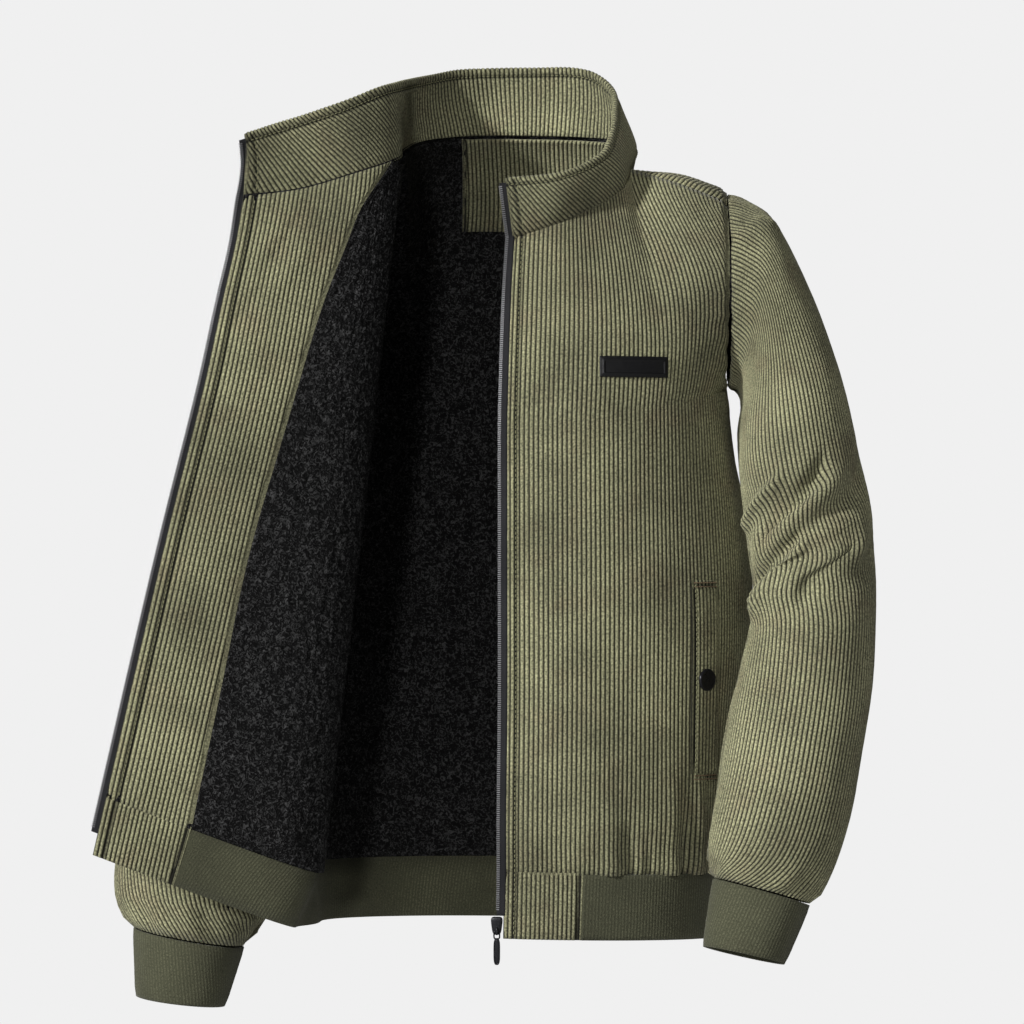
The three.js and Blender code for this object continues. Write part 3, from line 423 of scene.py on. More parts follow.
def skins(outer, inner, step=1, closed=False):
    """Outer skin, inner skin that has every step-th row, and the rims between them.

    Returns the points, the faces and, for each face, 1 on the inner skin and 0 elsewhere.
    """
    rows, columns = outer.shape[:2]
    inner_rows = inner.shape[0]
    top = np.arange(rows * columns).reshape(rows, columns)
    under = rows * columns + np.arange(inner_rows * columns).reshape(inner_rows, columns)
    if closed:
        top = np.concatenate([top, top[:, :1]], axis=1)
        under = np.concatenate([under, under[:, :1]], axis=1)

    def quads(a, b, c, d):
        return np.stack([a.ravel(), b.ravel(), c.ravel(), d.ravel()], 1).tolist()

    faces = grid_quads(top)
    inner_faces = quads(under[:-1, :-1], under[:-1, 1:], under[1:, 1:], under[1:, :-1])
    rims = quads(top[0, :-1], top[0, 1:], under[0, 1:], under[0, :-1])
    rims += quads(top[-1, :-1], under[-1, :-1], under[-1, 1:], top[-1, 1:])
    if not closed:
        for j in range(inner_rows - 1):
            left = top[j * step : (j + 1) * step + 1, 0].tolist()
            right = top[j * step : (j + 1) * step + 1, -1].tolist()
            rims.append([left[0], int(under[j, 0]), int(under[j + 1, 0])] + left[:0:-1])
            rims.append(right + [int(under[j + 1, -1]), int(under[j, -1])])
    marks = [0] * len(faces) + [1] * len(inner_faces) + [0] * len(rims)
    points = np.concatenate([outer.reshape(-1, 3), inner.reshape(-1, 3)])
    return points, faces + inner_faces + rims, marks


def levels_between(start, end, spacing, length, step=4):
    """Levels from start to end, about spacing apart on a run of that length, in whole steps."""
    count = step * max(1, round(length / spacing / step))
    return np.linspace(start, end, count + 1)


def slow_waves(across, along, size, seed):
    """Uneven, shallow hills and hollows: five long waves in seeded directions, -1 to 1."""
    rng = np.random.default_rng(seed)
    total = 0
    for k in range(5):
        angle, start = rng.uniform(0, math.pi), rng.uniform(0, 2 * math.pi)
        pitch = size * rng.uniform(0.6, 1.7)
        way = across * math.cos(angle) + along * math.sin(angle) * 0.6
        total = total + np.sin(way * 2 * math.pi / pitch + start)
    return total / 5


WALE_PITCH = 4.0
WALE_RIDGE = 1.15
EDGE_FADE = 30


def corded(
    name, surface, levels, finishes, side=1, depth=0.0, centre=0.0, reach=(0.0, 1.0),
    trim=(0.0, 0.0), dip=(0.0, 0.0, 0.0, 0.0), grooves=(), relief=None, thick=CORDUROY,
    closed=False, slot="corduroy", pitch=WALE_PITCH, ridge=WALE_RIDGE, seed=1, step_in=4,
    two_sided=False, waves=0.3,
):
    """Corduroy on a surface: wales raised in its outer skin over a plain inner skin.

    side is 1 where the pile is on the surface's square direction, -1 where it is on the other.
    dip is how far the edges (left, right, top, bottom) roll in at a seam; grooves are stitch
    lines as (edge, distance) and relief a function of u, level, distance across and along. The
    slow waves die out towards the edges, and the inner skin hangs clear where the cloth shifts.
    """
    u, height, pile, across = wales(surface, levels, pitch, centre, reach, trim)
    if closed:
        u, height, pile, across = (a[:, :-1] for a in (u, height, pile, across))
    at = np.broadcast_to(levels[:, None], u.shape)
    base = surface(u, at)
    along = np.broadcast_to(run_along(base[:, base.shape[1] // 2])[:, None], u.shape)
    normal = square_to(surface, u, at)
    from_left = across - across[:, :1]
    from_right = across[:, -1:] - across
    from_top = along - along[:1]
    from_bottom = along[-1:] - along
    away = (from_left, from_right, from_top, from_bottom)
    sink = sum(d * bell(a, 5.0) for d, a in zip(dip, away) if d)
    lines = 0
    for edge, distance in grooves:
        lines = lines + bell(away[edge] - distance, 1.5)
    lift = thick / 2 - 0.75 * ridge + height * ridge * (1 - 0.45 * np.clip(lines, 0, 1))
    lift = lift - sink - 1.1 * lines
    fade = smooth(np.minimum(from_top, from_bottom) / EDGE_FADE)
    if not closed:
        fade = fade * smooth(np.minimum(from_left, from_right) / EDGE_FADE)
    shift = waves * slow_waves(across, along, 80, seed) * fade
    if relief is not None:
        shift = shift + relief(u, at, across, along)
    base = base + normal * (side * shift)[..., None]
    rng = np.random.default_rng(seed + 50)
    lift = lift + rng.uniform(-0.09, 0.09, lift.shape) * (height > 0.3)
    outer = base + normal * (depth + side * lift)[..., None]
    if two_sided:
        inner_lift = depth - side * (lift + 2 * sink)
    else:
        inner_lift = depth - side * (thick / 2 + sink + 0.3 * np.abs(shift))
    inner = (base + normal * inner_lift[..., None])[::step_in]
    points, faces, marks = skins(outer, inner, step_in, closed)
    run = np.stack([across, along, np.zeros_like(u)], -1)
    run = np.concatenate([run.reshape(-1, 3), run[::step_in].reshape(-1, 3)])
    # Painted shade: along the sunk stitch lines the pile value drops, so the colour darkens
    # towards the groove colour.
    pile = np.clip(pile - 0.6 * np.clip(lines, 0, 1), 0, 1)
    under = pile[::step_in] if two_sided else np.full(inner.shape[:2], 0.7)
    pile = np.concatenate([pile.ravel(), under.ravel()])
    piece = mesh_of(name, points, faces, marks, pile, run, finishes)
    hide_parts(name.replace("_cloth", ""))
    return piece


# The corduroy's finish: pale crests of brushed cotton pile over grooves darkened with painted
# shade, broken into small tufts along each wale, with cloudy patches where the nap lies another
# way.
def socket(group, name, kind, way, default=None):
    """A named socket on a node group."""
    made = group.interface.new_socket(name=name, in_out=way, socket_type=kind)
    if default is not None:
        made.default_value = default
    return made


pile_group = bpy.data.node_groups.new("brushed_pile", "ShaderNodeTree")
socket(pile_group, "Crest", "NodeSocketColor", "INPUT", (0.36, 0.35, 0.19, 1))
# Groove: painted shade, the colour the pile's height blends to down in each groove.
socket(pile_group, "Groove", "NodeSocketColor", "INPUT", (0.03, 0.03, 0.014, 1))
socket(pile_group, "Patch", "NodeSocketColor", "INPUT", (0.30, 0.25, 0.14, 1))
socket(pile_group, "Tuft Across", "NodeSocketFloat", "INPUT", 600.0)
socket(pile_group, "Tuft Along", "NodeSocketFloat", "INPUT", 520.0)
socket(pile_group, "Pile Top", "NodeSocketFloat", "INPUT", 1.0)
socket(pile_group, "Colour", "NodeSocketColor", "OUTPUT")
socket(pile_group, "Tufts", "NodeSocketFloat", "OUTPUT")
socket(pile_group, "Roughness", "NodeSocketFloat", "OUTPUT")


def dress(made, **values):
    """Sets a node's properties and, where a key starts with in_, the input it names or numbers."""
    for key, value in values.items():
        if key.startswith("in_"):
            key = key[3:].replace("_", " ")
            made.inputs[int(key) if key.isdigit() else key].default_value = value
        else:
            setattr(made, key, value)
    return made


def node(tree, kind, **values):
    """A new node, dressed with its values."""
    return dress(tree.nodes.new(kind), **values)


def wire(tree, *links):
    """Links in a tree, each given as node, output, node and input."""
    for source, output, target, place in links:
        tree.links.new(source.outputs[output], target.inputs[place])


def new_finish(name):
    """A new material, with its node tree and its shader."""
    finish = bpy.data.materials.new(name)
    finish.use_nodes = True
    return finish, finish.node_tree, finish.node_tree.nodes["Principled BSDF"]


def build_pile(tree):
    """Fills the brushed pile group: attribute pile blends crest to painted groove shade, attribute
    run the tufts.
    """
    given = node(tree, "NodeGroupInput")
    result = node(tree, "NodeGroupOutput")
    pile = node(tree, "ShaderNodeAttribute", attribute_name="pile")
    run = node(tree, "ShaderNodeAttribute", attribute_name="run")
    place = node(tree, "ShaderNodeTexCoord")
    scale = node(tree, "ShaderNodeCombineXYZ")
    stretched = node(tree, "ShaderNodeVectorMath", operation="MULTIPLY")
    tufts = node(tree, "ShaderNodeTexNoise", in_Scale=1.0, in_Detail=2.0, in_Roughness=0.6)
    clouds = node(tree, "ShaderNodeTexNoise", in_Scale=11.0, in_Detail=4.0, in_Roughness=0.62)
    stains = node(tree, "ShaderNodeTexNoise", in_Scale=26.0, in_Detail=3.0, in_Roughness=0.6)
    stain = node(tree, "ShaderNodeMapRange", in_1=0.5, in_2=0.72, in_3=0.0, in_4=0.55)
    crest = node(tree, "ShaderNodeMix", data_type="RGBA")
    light = node(tree, "ShaderNodeMapRange", in_1=0.3, in_2=0.7, in_3=0.6, in_4=1.35)
    grain = node(tree, "ShaderNodeMapRange", in_1=0.32, in_2=0.68, in_3=0.42, in_4=1.55)
    both = node(tree, "ShaderNodeMath", operation="MULTIPLY")
    toned = node(tree, "ShaderNodeVectorMath", operation="SCALE")
    # Painted shade: low pile, down in the grooves, takes the groove colour.
    shade = node(tree, "ShaderNodeMapRange", in_1=0.22, in_3=0.0, in_4=1.0)
    cloth = node(tree, "ShaderNodeMix", data_type="RGBA")
    rough = node(tree, "ShaderNodeMapRange", in_1=0.3, in_2=0.7, in_3=0.98, in_4=0.85)
    wire(
        tree,
        (given, "Tuft Across", scale, 0), (given, "Tuft Along", scale, 1),
        (run, "Vector", stretched, 0), (scale, 0, stretched, 1), (stretched, 0, tufts, "Vector"),
        (place, "Object", clouds, "Vector"), (place, "Object", stains, "Vector"),
        (stains, "Fac", stain, 0), (stain, 0, crest, "Factor"),
        (given, "Crest", crest, 6), (given, "Patch", crest, 7),
        (clouds, "Fac", light, 0), (tufts, "Fac", grain, 0), (light, 0, both, 0),
        (grain, 0, both, 1), (crest, 2, toned, 0), (both, 0, toned, "Scale"),
        (pile, "Fac", shade, 0), (given, "Pile Top", shade, 2), (shade, 0, cloth, "Factor"),
        (given, "Groove", cloth, 6), (toned, 0, cloth, 7), (tufts, "Fac", rough, 0),
        (cloth, 2, result, "Colour"), (tufts, "Fac", result, "Tufts"),
        (rough, 0, result, "Roughness"),
    )


build_pile(pile_group)


def pile_finish(name, crest, groove, patch, across=600.0, along=520.0, sheen=0.12, bump=0.0006):
    """Material of a pile or knit: the brushed pile group on a rough cloth with a soft sheen;
    groove is the painted shade that low pile takes.
    """
    finish, tree, shader = new_finish(name)
    pile = node(
        tree, "ShaderNodeGroup", node_tree=pile_group, in_Crest=(*crest, 1),
        in_Groove=(*groove, 1), in_Patch=(*patch, 1), in_Tuft_Across=across, in_Tuft_Along=along,
    )
    raised = node(tree, "ShaderNodeBump", in_Strength=0.7, in_Distance=bump)
    wire(
        tree, (pile, "Tufts", raised, "Height"), (pile, "Colour", shader, "Base Color"),
        (pile, "Roughness", shader, "Roughness"), (raised, "Normal", shader, "Normal"),
    )
    dress(
        shader, in_Specular_IOR_Level=0.2, in_Sheen_Weight=sheen, in_Sheen_Roughness=0.5,
        in_Sheen_Tint=(0.9, 0.9, 0.8, 1),
    )
    return finish


# Its groove colour is painted shade, near black, in the recesses between the wales.
corduroy = pile_finish(
    "corduroy", (0.265, 0.26, 0.152), (0.006, 0.006, 0.0035), (0.21, 0.175, 0.105)
)

# Fleece finish: black curly pile, a noise twisted on itself, whose raised tips get a painted grey
# highlight.
fleece, fleece_tree, fleece_shader = new_finish("black_fleece")
fleece_place = node(fleece_tree, "ShaderNodeTexCoord")
fleece_curl = node(
    fleece_tree, "ShaderNodeTexNoise", in_Scale=300.0, in_Detail=2.0, in_Roughness=0.55,
    in_Distortion=1.6,
)
# Painted highlight: the higher the noise, and so the bump, the greyer the colour.
fleece_tip_highlight = node(fleece_tree, "ShaderNodeMapRange", in_1=0.48, in_2=0.68, in_3=0.001, in_4=0.045)
fleece_bump = node(fleece_tree, "ShaderNodeBump", in_Strength=1.0, in_Distance=0.0022)
wire(
    fleece_tree, (fleece_place, "Object", fleece_curl, "Vector"),
    (fleece_curl, "Fac", fleece_tip_highlight, 0), (fleece_curl, "Fac", fleece_bump, "Height"),
    (fleece_tip_highlight, 0, fleece_shader, "Base Color"),
    (fleece_bump, "Normal", fleece_shader, "Normal"),
)
dress(fleece_shader, in_Roughness=0.9, in_Specular_IOR_Level=0.15)

# Left front: wales run straight down from its neck and shoulder seams and parallel to the zip
# edge, which is folded under and topstitched 9 mm in; its side and armhole are plain seams.
EDGE_STITCH = 9.0
# Pulls above the hem: distance from the zip edge, half width and rise in mm, level of the start.
HEM_PULLS = (
    (92, 8, 3.2, 0.84), (110, 6, -3.4, 0.87), (126, 6, -2.6, 0.88),
    (150, 8, 3.2, 0.82), (164, 5, -3.6, 0.87), (180, 7, 3.0, 0.8),
)


def left_creases(u, at, across, along):
    """Soft pulls above the hem seam, and puckers along the armhole."""
    edge = across[:, -1:] - across
    pucker = 1.1 * np.sin(along * 2 * math.pi / 23 + 1) * bell(edge, 22)
    pulls = 0
    for line, width, rise, start in HEM_PULLS:
        drift = line + 26 * (at - 1.0)
        pulls = pulls + rise * bell(across - drift, width) * smooth((at - start) / 0.12)
    return pucker * smooth((0.42 - at) / 0.2) + pulls


front_levels = levels_between(0.0006, 1.0, 6.5, 545)
front_left_cloth = corded(
    "front_left_cloth", left_front, front_levels, (corduroy, fleece),
    trim=(0.2, 0.0), dip=(0.9, 2.4, 1.4, 1.2), grooves=((0, EDGE_STITCH),), relief=left_creases,
    seed=3, waves=1.3,
)

# Right front: the same panel, folded back on itself along a soft line, so that its pile side
# faces back on the flap. Only its rear, its edge and the part beside the side seam show.
front_right_cloth = corded(
    "front_right_cloth", right_front, front_levels, (corduroy, fleece), side=-1,
    trim=(0.2, 0.0), dip=(0.9, 2.0, 1.0, 1.2), grooves=((0, EDGE_STITCH),), seed=5, waves=1.0,
)

# Back: one panel with its wales straight down, eased over the shoulder seams and on to the hem.
back_cloth = corded(
    "back_cloth", back, levels_between(0.0006, 1.0, 6.8, 590), (corduroy, fleece), centre=0.5,
    dip=(2.2, 2.2, 1.2, 1.2), seed=7, waves=1.2, step_in=2,
)

# Sleeves: one-piece tubes of corduroy set into the armholes, their wales parallel to the outer
# fold and cut off by the underarm seam. Elbow folds break the inner side of the left one.
LEFT_SLEEVE_ROWS = table(
    "at out_x out_z in_x in_z y depth drop",
    (0.0, 181, -24, 181, -190, 6, 64, 0),
    (0.04, 199, -33, 188, -193, 4, 65, 0),
    (0.08, 215, -43, 191, -197, 0, 65, 0),
    (0.13, 230, -65, 192, -203, -5, 64, 0),
    (0.19, 246, -101, 192, -211, -11, 63, 0),
    (0.26, 263, -145, 191, -221, -18, 62, 0),
    (0.33, 276, -187, 190, -237, -30, 61, 2),
    (0.4, 287, -237, 190, -263, -39, 60, 4),
    (0.48, 297, -284, 193, -292, -46, 59, 6),
    (0.56, 302, -331, 197, -329, -53, 58, 8),
    (0.64, 303, -384, 202, -376, -61, 56, 9),
    (0.72, 299, -441, 190, -427, -71, 57, 10),
    (0.81, 290, -500, 178, -479, -84, 57, 11),
    (0.89, 279, -553, 168, -537, -98, 56, 11),
    (0.96, 264, -595, 160, -584, -109, 52, 10),
    (1.0, 244, -627, 164, -605, -114, 39, 8),
)
RIGHT_SLEEVE_ROWS = table(
    "at out_x out_z in_x in_z y depth drop",
    (0.0, -181, -24, -181, -190, 6, 64, 0),
    (0.06, -204, -36, -189, -194, 6, 65, 0),
    (0.12, -222, -57, -192, -200, 7, 65, 0),
    (0.19, -238, -95, -193, -209, 8, 65, 0),
    (0.27, -252, -140, -192, -226, 9, 65, 0),
    (0.36, -266, -196, -192, -254, 10, 65, 0),
    (0.46, -282, -262, -192, -298, 11, 64, 0),
    (0.58, -299, -344, -195, -362, 12, 62, 0),
    (0.7, -317, -425, -203, -436, 12, 60, 0),
    (0.82, -334, -510, -212, -520, 12, 60, 0),
    (0.93, -344, -596, -216, -604, 11, 58, 0),
    (0.97, -343, -628, -213, -638, 10, 52, 0),
    (1.0, -330, -657, -236, -674, 10, 42, 0),
)
# Folds: turn (degrees from the outer side, front positive) and level of both ends, the half
# width as a share of the length, and the rise.
LEFT_FOLDS = (
    (150, 0.55, 62, 0.46, 0.022, 5),
    (128, 0.575, 20, 0.455, 0.03, -8),
    (158, 0.645, 40, 0.56, 0.022, 6),
    (175, 0.635, 60, 0.545, 0.014, -6),
    (110, 0.64, 12, 0.565, 0.03, -6),
    (60, 0.02, 20, 0.1, 0.02, 3),
)
RIGHT_FOLDS = (
    (150, 0.56, 40, 0.5, 0.025, -5),
    (165, 0.62, 50, 0.57, 0.025, -5),
    (150, 0.955, 100, 0.985, 0.015, -6),
)


def fold_height(folds, degrees, at):
    """Sum of the folds: each a bell across its slanting line, tapered past both of its ends."""
    total = np.zeros_like(at)
    for from_turn, from_at, to_turn, to_at, width, rise in folds:
        run = np.clip((from_turn - degrees) / (from_turn - to_turn), -1, 2)
        ends = smooth((run + 0.25) * 3) * smooth((1.25 - run) * 3)
        total = total + rise * ends * bell(at - mix(from_at, to_at, run), width)
    return total


def tube(rows, folds, gathers):
    """Rings through a table: u once round from the outer side over the front, at down it."""

    def surface(u, at):
        u, at = together(u, at)
        get = {name: column(rows, name, at) for name in rows if name != "at"}
        turn = 2 * math.pi * u
        out = vec(get["out_x"], 0, get["out_z"])
        inn = vec(get["in_x"], 0, get["in_z"])
        middle = (out + inn) / 2
        wrapped = u - np.round(u)
        swell = fold_height(folds, 360 * wrapped, at) * smooth((0.5 - np.abs(wrapped)) * 26)
        if gathers:
            swell = (swell + gather(u, 1 - at, *gathers)) * smooth((1 - at) * 60)
        grow = 1 + swell / get["depth"]
        depth = get["depth"] * grow * np.sin(turn)
        around = (out - middle) * (grow * np.cos(turn))[..., None]
        return middle + around + vec(0, get["y"] - depth, get["drop"] * np.sin(turn) / 2)

    return surface


left_sleeve = tube(LEFT_SLEEVE_ROWS, LEFT_FOLDS, (6, 2.2, 0.08))
right_sleeve = tube(RIGHT_SLEEVE_ROWS, RIGHT_FOLDS, (6, 2.2, 0.08))


# Cores of the left elbow's folds, sharper than the folds themselves: two ridges, three creases.
ELBOW_CREASES = (
    (165, 0.522, 118, 0.45, 0.015, 9),
    (140, 0.54, 75, 0.437, 0.02, -12),
    (160, 0.643, 105, 0.565, 0.014, 9),
    (162, 0.609, 108, 0.553, 0.012, -8),
    (104, 0.614, 50, 0.56, 0.018, -10),
)


def left_sleeve_creases(u, at, across, along):
    """The seam puckers of both sleeves and the cores of the elbow folds."""
    degrees = 360 * (u - np.round(u))
    return sleeve_creases(u, at, across, along) + fold_height(ELBOW_CREASES, degrees, at)


def sleeve_creases(u, at, across, along):
    """Puckers at the armhole seam and short pulls above the cuff, uneven round the sleeve."""
    below = along[-1:] - along
    head = 0.8 * np.sin(across * 2 * math.pi / 21) * bell(along, 16)
    pulls = 1.5 * np.sin(across * 2 * math.pi / 27 + 0.8 * np.sin(across / 31))
    return head + pulls * bell(below, 26) * (1 - bell(below, 5))


# Levels lie closer together round the elbow.
fine_levels = np.linspace(0.002, 0.9985, 2001)
crowding = np.cumsum(1 + 1.2 * bell(fine_levels - 0.54, 0.13))
elbow_levels = np.interp(np.linspace(crowding[0], crowding[-1], 121), crowding, fine_levels)
even_levels = levels_between(0.002, 0.9985, 6.2, 640)
for name, surface, side, relief, sleeve_levels, seed in (
    ("sleeve_left_cloth", left_sleeve, -1, left_sleeve_creases, elbow_levels, 11),
    ("sleeve_right_cloth", right_sleeve, 1, sleeve_creases, even_levels, 13),
):
    sleeve = corded(
        name, surface, sleeve_levels, (corduroy, fleece), side=side, centre=0.5,
        reach=(-0.5, 0.5), dip=(0, 0, 2.6, 1.6), relief=relief,
        closed=True, seed=seed, step_in=2, waves=1.6,
    )

# Rib-knit cuffs and hem band: stretchy heathered knit in fine upright ribs, doubled and sewn to
# the gathered cloth; the fold at the free edge is rounded.
# Its darker groove colour is painted shade in the valleys between the ribs.
knit = pile_finish(
    "rib_knit", (0.066, 0.067, 0.040), (0.044, 0.045, 0.026), (0.058, 0.056, 0.034),
    across=900.0, along=650.0, sheen=0.1, bump=0.0006,
)
RIB_KNIT = 2.4
CUFF_ROWS = {
    "left": table(
        "at out_x out_z in_x in_z y depth drop",
        (0.0, 243.6, -627.5, 164, -605.5, -114.2, 38.8, 8),
        (1.0, 222, -675, 155, -660, -128, 35, 9),
    ),
    "right": table(
        "at out_x out_z in_x in_z y depth drop",
        (0.0, -329.9, -657.2, -236.1, -674.2, 10, 41.9, 0),
        (1.0, -328, -715, -252, -724, 10, 37, 0),
    ),
}


def ribbed(name, surface, levels, seed, **given):
    """Rib knit on a surface: the wale grid at a finer pitch, round over its free lower edge."""
    return corded(
        name, surface, levels, (knit, knit), dip=(0, 0, 0.6, 0.8), thick=RIB_KNIT,
        slot="rib_knit", pitch=2.9, ridge=0.26, seed=seed, **given,
    )


for hand, side, seed in (("left", -1, 17), ("right", 1, 19)):
    cuff = ribbed(
        f"cuff_{hand}_cloth", tube(CUFF_ROWS[hand], (), None), levels_between(-0.01, 1.0, 3.5, 56),
        seed, side=side, closed=True, centre=0.5, reach=(-0.5, 0.5),
    )

HEM_TAB_LEFT = 0.235
HEM_TAB_RIGHT = 0.2
HEM_BACK_START = 0.25
HEM_BACK_END = 0.65


def hem_band(s, t):
    """Round the hem from the left tab over the back to the right tab, t from its seam down."""
    s, t = together(s, t)
    at = mix(HEM_SEAM, HEM_BOTTOM, t)
    left = left_front(mix(HEM_TAB_LEFT, 1.0, s / HEM_BACK_START), at)
    behind = back((s - HEM_BACK_START) / (HEM_BACK_END - HEM_BACK_START), at)
    past = (s - HEM_BACK_END) / (1 - HEM_BACK_END)
    right = right_front(mix(1.0, HEM_TAB_RIGHT, past), at)
    sewn = np.where((s <= HEM_BACK_START)[..., None], left, behind)
    return np.where((s > HEM_BACK_END)[..., None], right, sewn)


def hem_surface(s, t):
    """The hem band with the corners at its side seams eased out, as stretched knit runs."""
    spread = 0.006
    return (hem_band(s - spread, t) + 2 * hem_band(s, t) + hem_band(s + spread, t)) / 4


hem_rib_cloth = ribbed(
    "hem_rib_cloth", hem_surface, levels_between(-0.012, 1.0, 4.0, 55), 23, two_sided=True,
)

# Hem tabs: short corduroy ends of the hem band at both zip edges, stiffened and topstitched.
for name, surface, end, side, seed in (
    ("hem_tab_left_cloth", left_front, HEM_TAB_LEFT, 1, 29),
    ("hem_tab_right_cloth", right_front, HEM_TAB_RIGHT, -1, 31),
):
    tab = corded(
        name, surface, levels_between(0.996, 1.1, 3.5, 55), (corduroy, corduroy), side=side,
        reach=(0.0, end), trim=(0.2, -0.4), dip=(0.9, 0.7, 0.9, 0.8),
        grooves=((0, EDGE_STITCH), (1, 4.0)), thick=RIB_KNIT, seed=seed, pitch=3.8, step_in=1,
        two_sided=True,
    )

# Collar: a doubled band of corduroy on the neck seam, rolled over at its top and topstitched
# 6 mm below it and beside its ends. Its straight grain leans where the band turns to the front.
COLLAR_CLOTH = 4.4
COLLAR_HEIGHT = 52
COLLAR_STITCH = 6.5


def collar_band(s, t):
    """Stand of the collar: its top edge and the neck seam joined, bowed 3 mm at mid height."""
    s, t = together(s, t)
    base = neck_seam(s)
    out = unit(vec(base[..., 0], base[..., 1] + 10, 0))
    side = 1 - 2 * smooth((s - 0.68) / 0.1)
    bulge = (side * 3 * np.sin(math.pi * t))[..., None]
    top = collar_top(s)
    return top + (base - top) * t[..., None] + out * bulge


def collar_mesh():
    """A loop of rows: up the outside, over the rolled top, down the inside, on leaning columns."""
    fine = np.linspace(0.0, 1.0, 600)
    middle = collar_band(fine, np.full_like(fine, 0.5))
    run = run_along(middle)
    spare = 5
    count = round(run[-1] / 3.9) + 2 * spare
    places = (np.arange(count)[:, None] + WALE_PHASES).ravel()
    places = (np.r_[places, count] - spare) / (count - 2 * spare) * run[-1]
    height = np.r_[np.tile(WALE_HEIGHTS, count), 0.0]
    s_column = np.interp(places, run, fine)
    rows_out = np.r_[np.linspace(1.05, 0.26, 11), 0.21, 0.17, 0.13, 0.09, 0.055]
    roll = np.radians([20, 50, 90, 130, 160])
    t = np.r_[rows_out, np.full(5, 0.04), rows_out[::-1]][:, None]
    face = np.r_[np.ones(16), np.cos(roll), -np.ones(16)][:, None]
    rise = np.r_[np.zeros(16), np.sin(roll), np.zeros(16)][:, None]
    lean = 15 * (smooth((s_column - 0.66) / 0.2) - smooth((0.26 - s_column) / 0.2))
    shifted = places + lean * (0.5 - t) * 2
    near = np.minimum(shifted, run[-1] - shifted)
    inside = np.where(near < 2, 2 * np.exp(np.minimum(near - 2, 0) / 2), near)
    shifted = np.where(shifted < run[-1] / 2, inside, run[-1] - inside)
    height = height * smooth(inside / 2.5)
    s = np.interp(shifted, run, fine)
    n = square_to(collar_band, s, np.broadcast_to(t, s.shape))
    e = 1e-3
    up = unit(collar_band(s, t - e) - collar_band(s, t + e))
    below_top = t * COLLAR_HEIGHT
    stitch = bell(below_top - COLLAR_STITCH, 1.3) * (rise == 0)
    beside = bell(inside - 7.5, 1.3)
    lines = np.clip(stitch + beside * (rise == 0), 0, 1)
    seam = bell((1 - t) * COLLAR_HEIGHT, 4) * 1.1
    half = COLLAR_CLOTH / 2 - 0.7 + height * (1 - 0.45 * lines) - 0.9 * lines - seam
    half = half + 0.5 * slow_waves(shifted, below_top * face, 60, 37)
    points = collar_band(s, t) + n * (face * half)[..., None]
    points = points + up * (rise * (half + 0.3))[..., None]
    rows, columns = s.shape
    grid = np.arange(rows * columns).reshape(rows, columns)
    faces = grid_quads(np.concatenate([grid, grid[:1]], axis=0))
    faces += [grid[::-1, 0].tolist(), grid[:, -1].tolist()]
    # Painted shade: the pile value, and so the colour, drops along the sunk stitch lines.
    pile = np.clip(mix(0.6, height, smooth(inside / 2.5)) - 0.6 * lines, 0, 1)
    run_at = np.stack([shifted, np.broadcast_to(below_top * face, s.shape), np.zeros_like(s)], -1)
    piece = mesh_of(
        "collar_cloth", points.reshape(-1, 3), faces, (), pile, run_at.reshape(-1, 3), (corduroy,)
    )
    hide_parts("collar")
    return piece


collar_cloth = collar_mesh()

# Right facing: corduroy turned back inside the zip edge, topstitched beside the zip, its wales
# parallel to that edge and cut off where the fleece lining begins.
FACING_ROWS = table(
    "at u", (0.0, 0.62), (0.06, 0.44), (0.13, 0.367), (0.22, 0.311), (0.35, 0.268), (0.55, 0.225),
    (0.78, 0.212), (1.0, 0.2),
)
# Dents: distance from the zip edge and below the neck seam, length, width and rise in mm.
FACING_DENTS = ((38, 55, 22, 6, -2.4), (27, 95, 26, 5, -2.0), (52, 78, 20, 7, 1.6))
FACING_DEPTH = CORDUROY + LAYER_GAP
LINING_DEPTH = CORDUROY / 2 + LAYER_GAP + FLEECE / 2


def facing_sheet(u, at):
    """Right front from its zip edge (0) to the lining's edge (1)."""
    u, at = together(u, at)
    return right_front(u * column(FACING_ROWS, "u", at), at)


def facing_creases(u, at, across, along):
    """Three short slanting dents below the neck seam, and a shallow hollow beside the edge."""
    total = -0.6 * bell(across - 15, 6)
    for place, level, long, wide, rise in FACING_DENTS:
        slant = across - place + 0.55 * (along - level)
        total = total + rise * bell(slant, wide) * bell(along - level, long)
    return total


facing_right_cloth = corded(
    "facing_right_cloth", facing_sheet, levels_between(0.003, 1.001, 6.0, 520),
    (corduroy, corduroy), depth=FACING_DEPTH, trim=(0.3, 0.3),
    dip=(0.8, 0.4, 1.0, 1.0), grooves=((0, EDGE_STITCH + 1.5),), relief=facing_creases, seed=41,
)

# Back neck facing: a corduroy square under the back of the collar, over the lining.
NECK_FACING = (88.0, -50.0, 0.004, 0.108)


def neck_facing_sheet(s, t):
    """The back between two upright lines, its u found by 12 Newton steps to the wanted x."""
    s, t = together(s, t)
    x, at = mix(NECK_FACING[0], NECK_FACING[1], s), mix(NECK_FACING[2], NECK_FACING[3], t)
    u, e = np.full_like(x, 0.5), 1e-3
    for _ in range(12):
        now = back(u, at)[..., 0]
        u = u + (x - now) * e / (back(u + e, at)[..., 0] - now)
    return back(u, at)


back_neck_facing_cloth = corded(
    "back_neck_facing_cloth", neck_facing_sheet, levels_between(0.0, 1.0, 4.0, 66),
    (corduroy, corduroy), side=-1, depth=-(CORDUROY + 2.3 * LAYER_GAP + FLEECE), centre=0.5,
    dip=(0.8, 0.8, 0.0, 0.8), grooves=((0, 2.5), (1, 2.5), (3, 3.5)), seed=43,
    pitch=4.1,
)


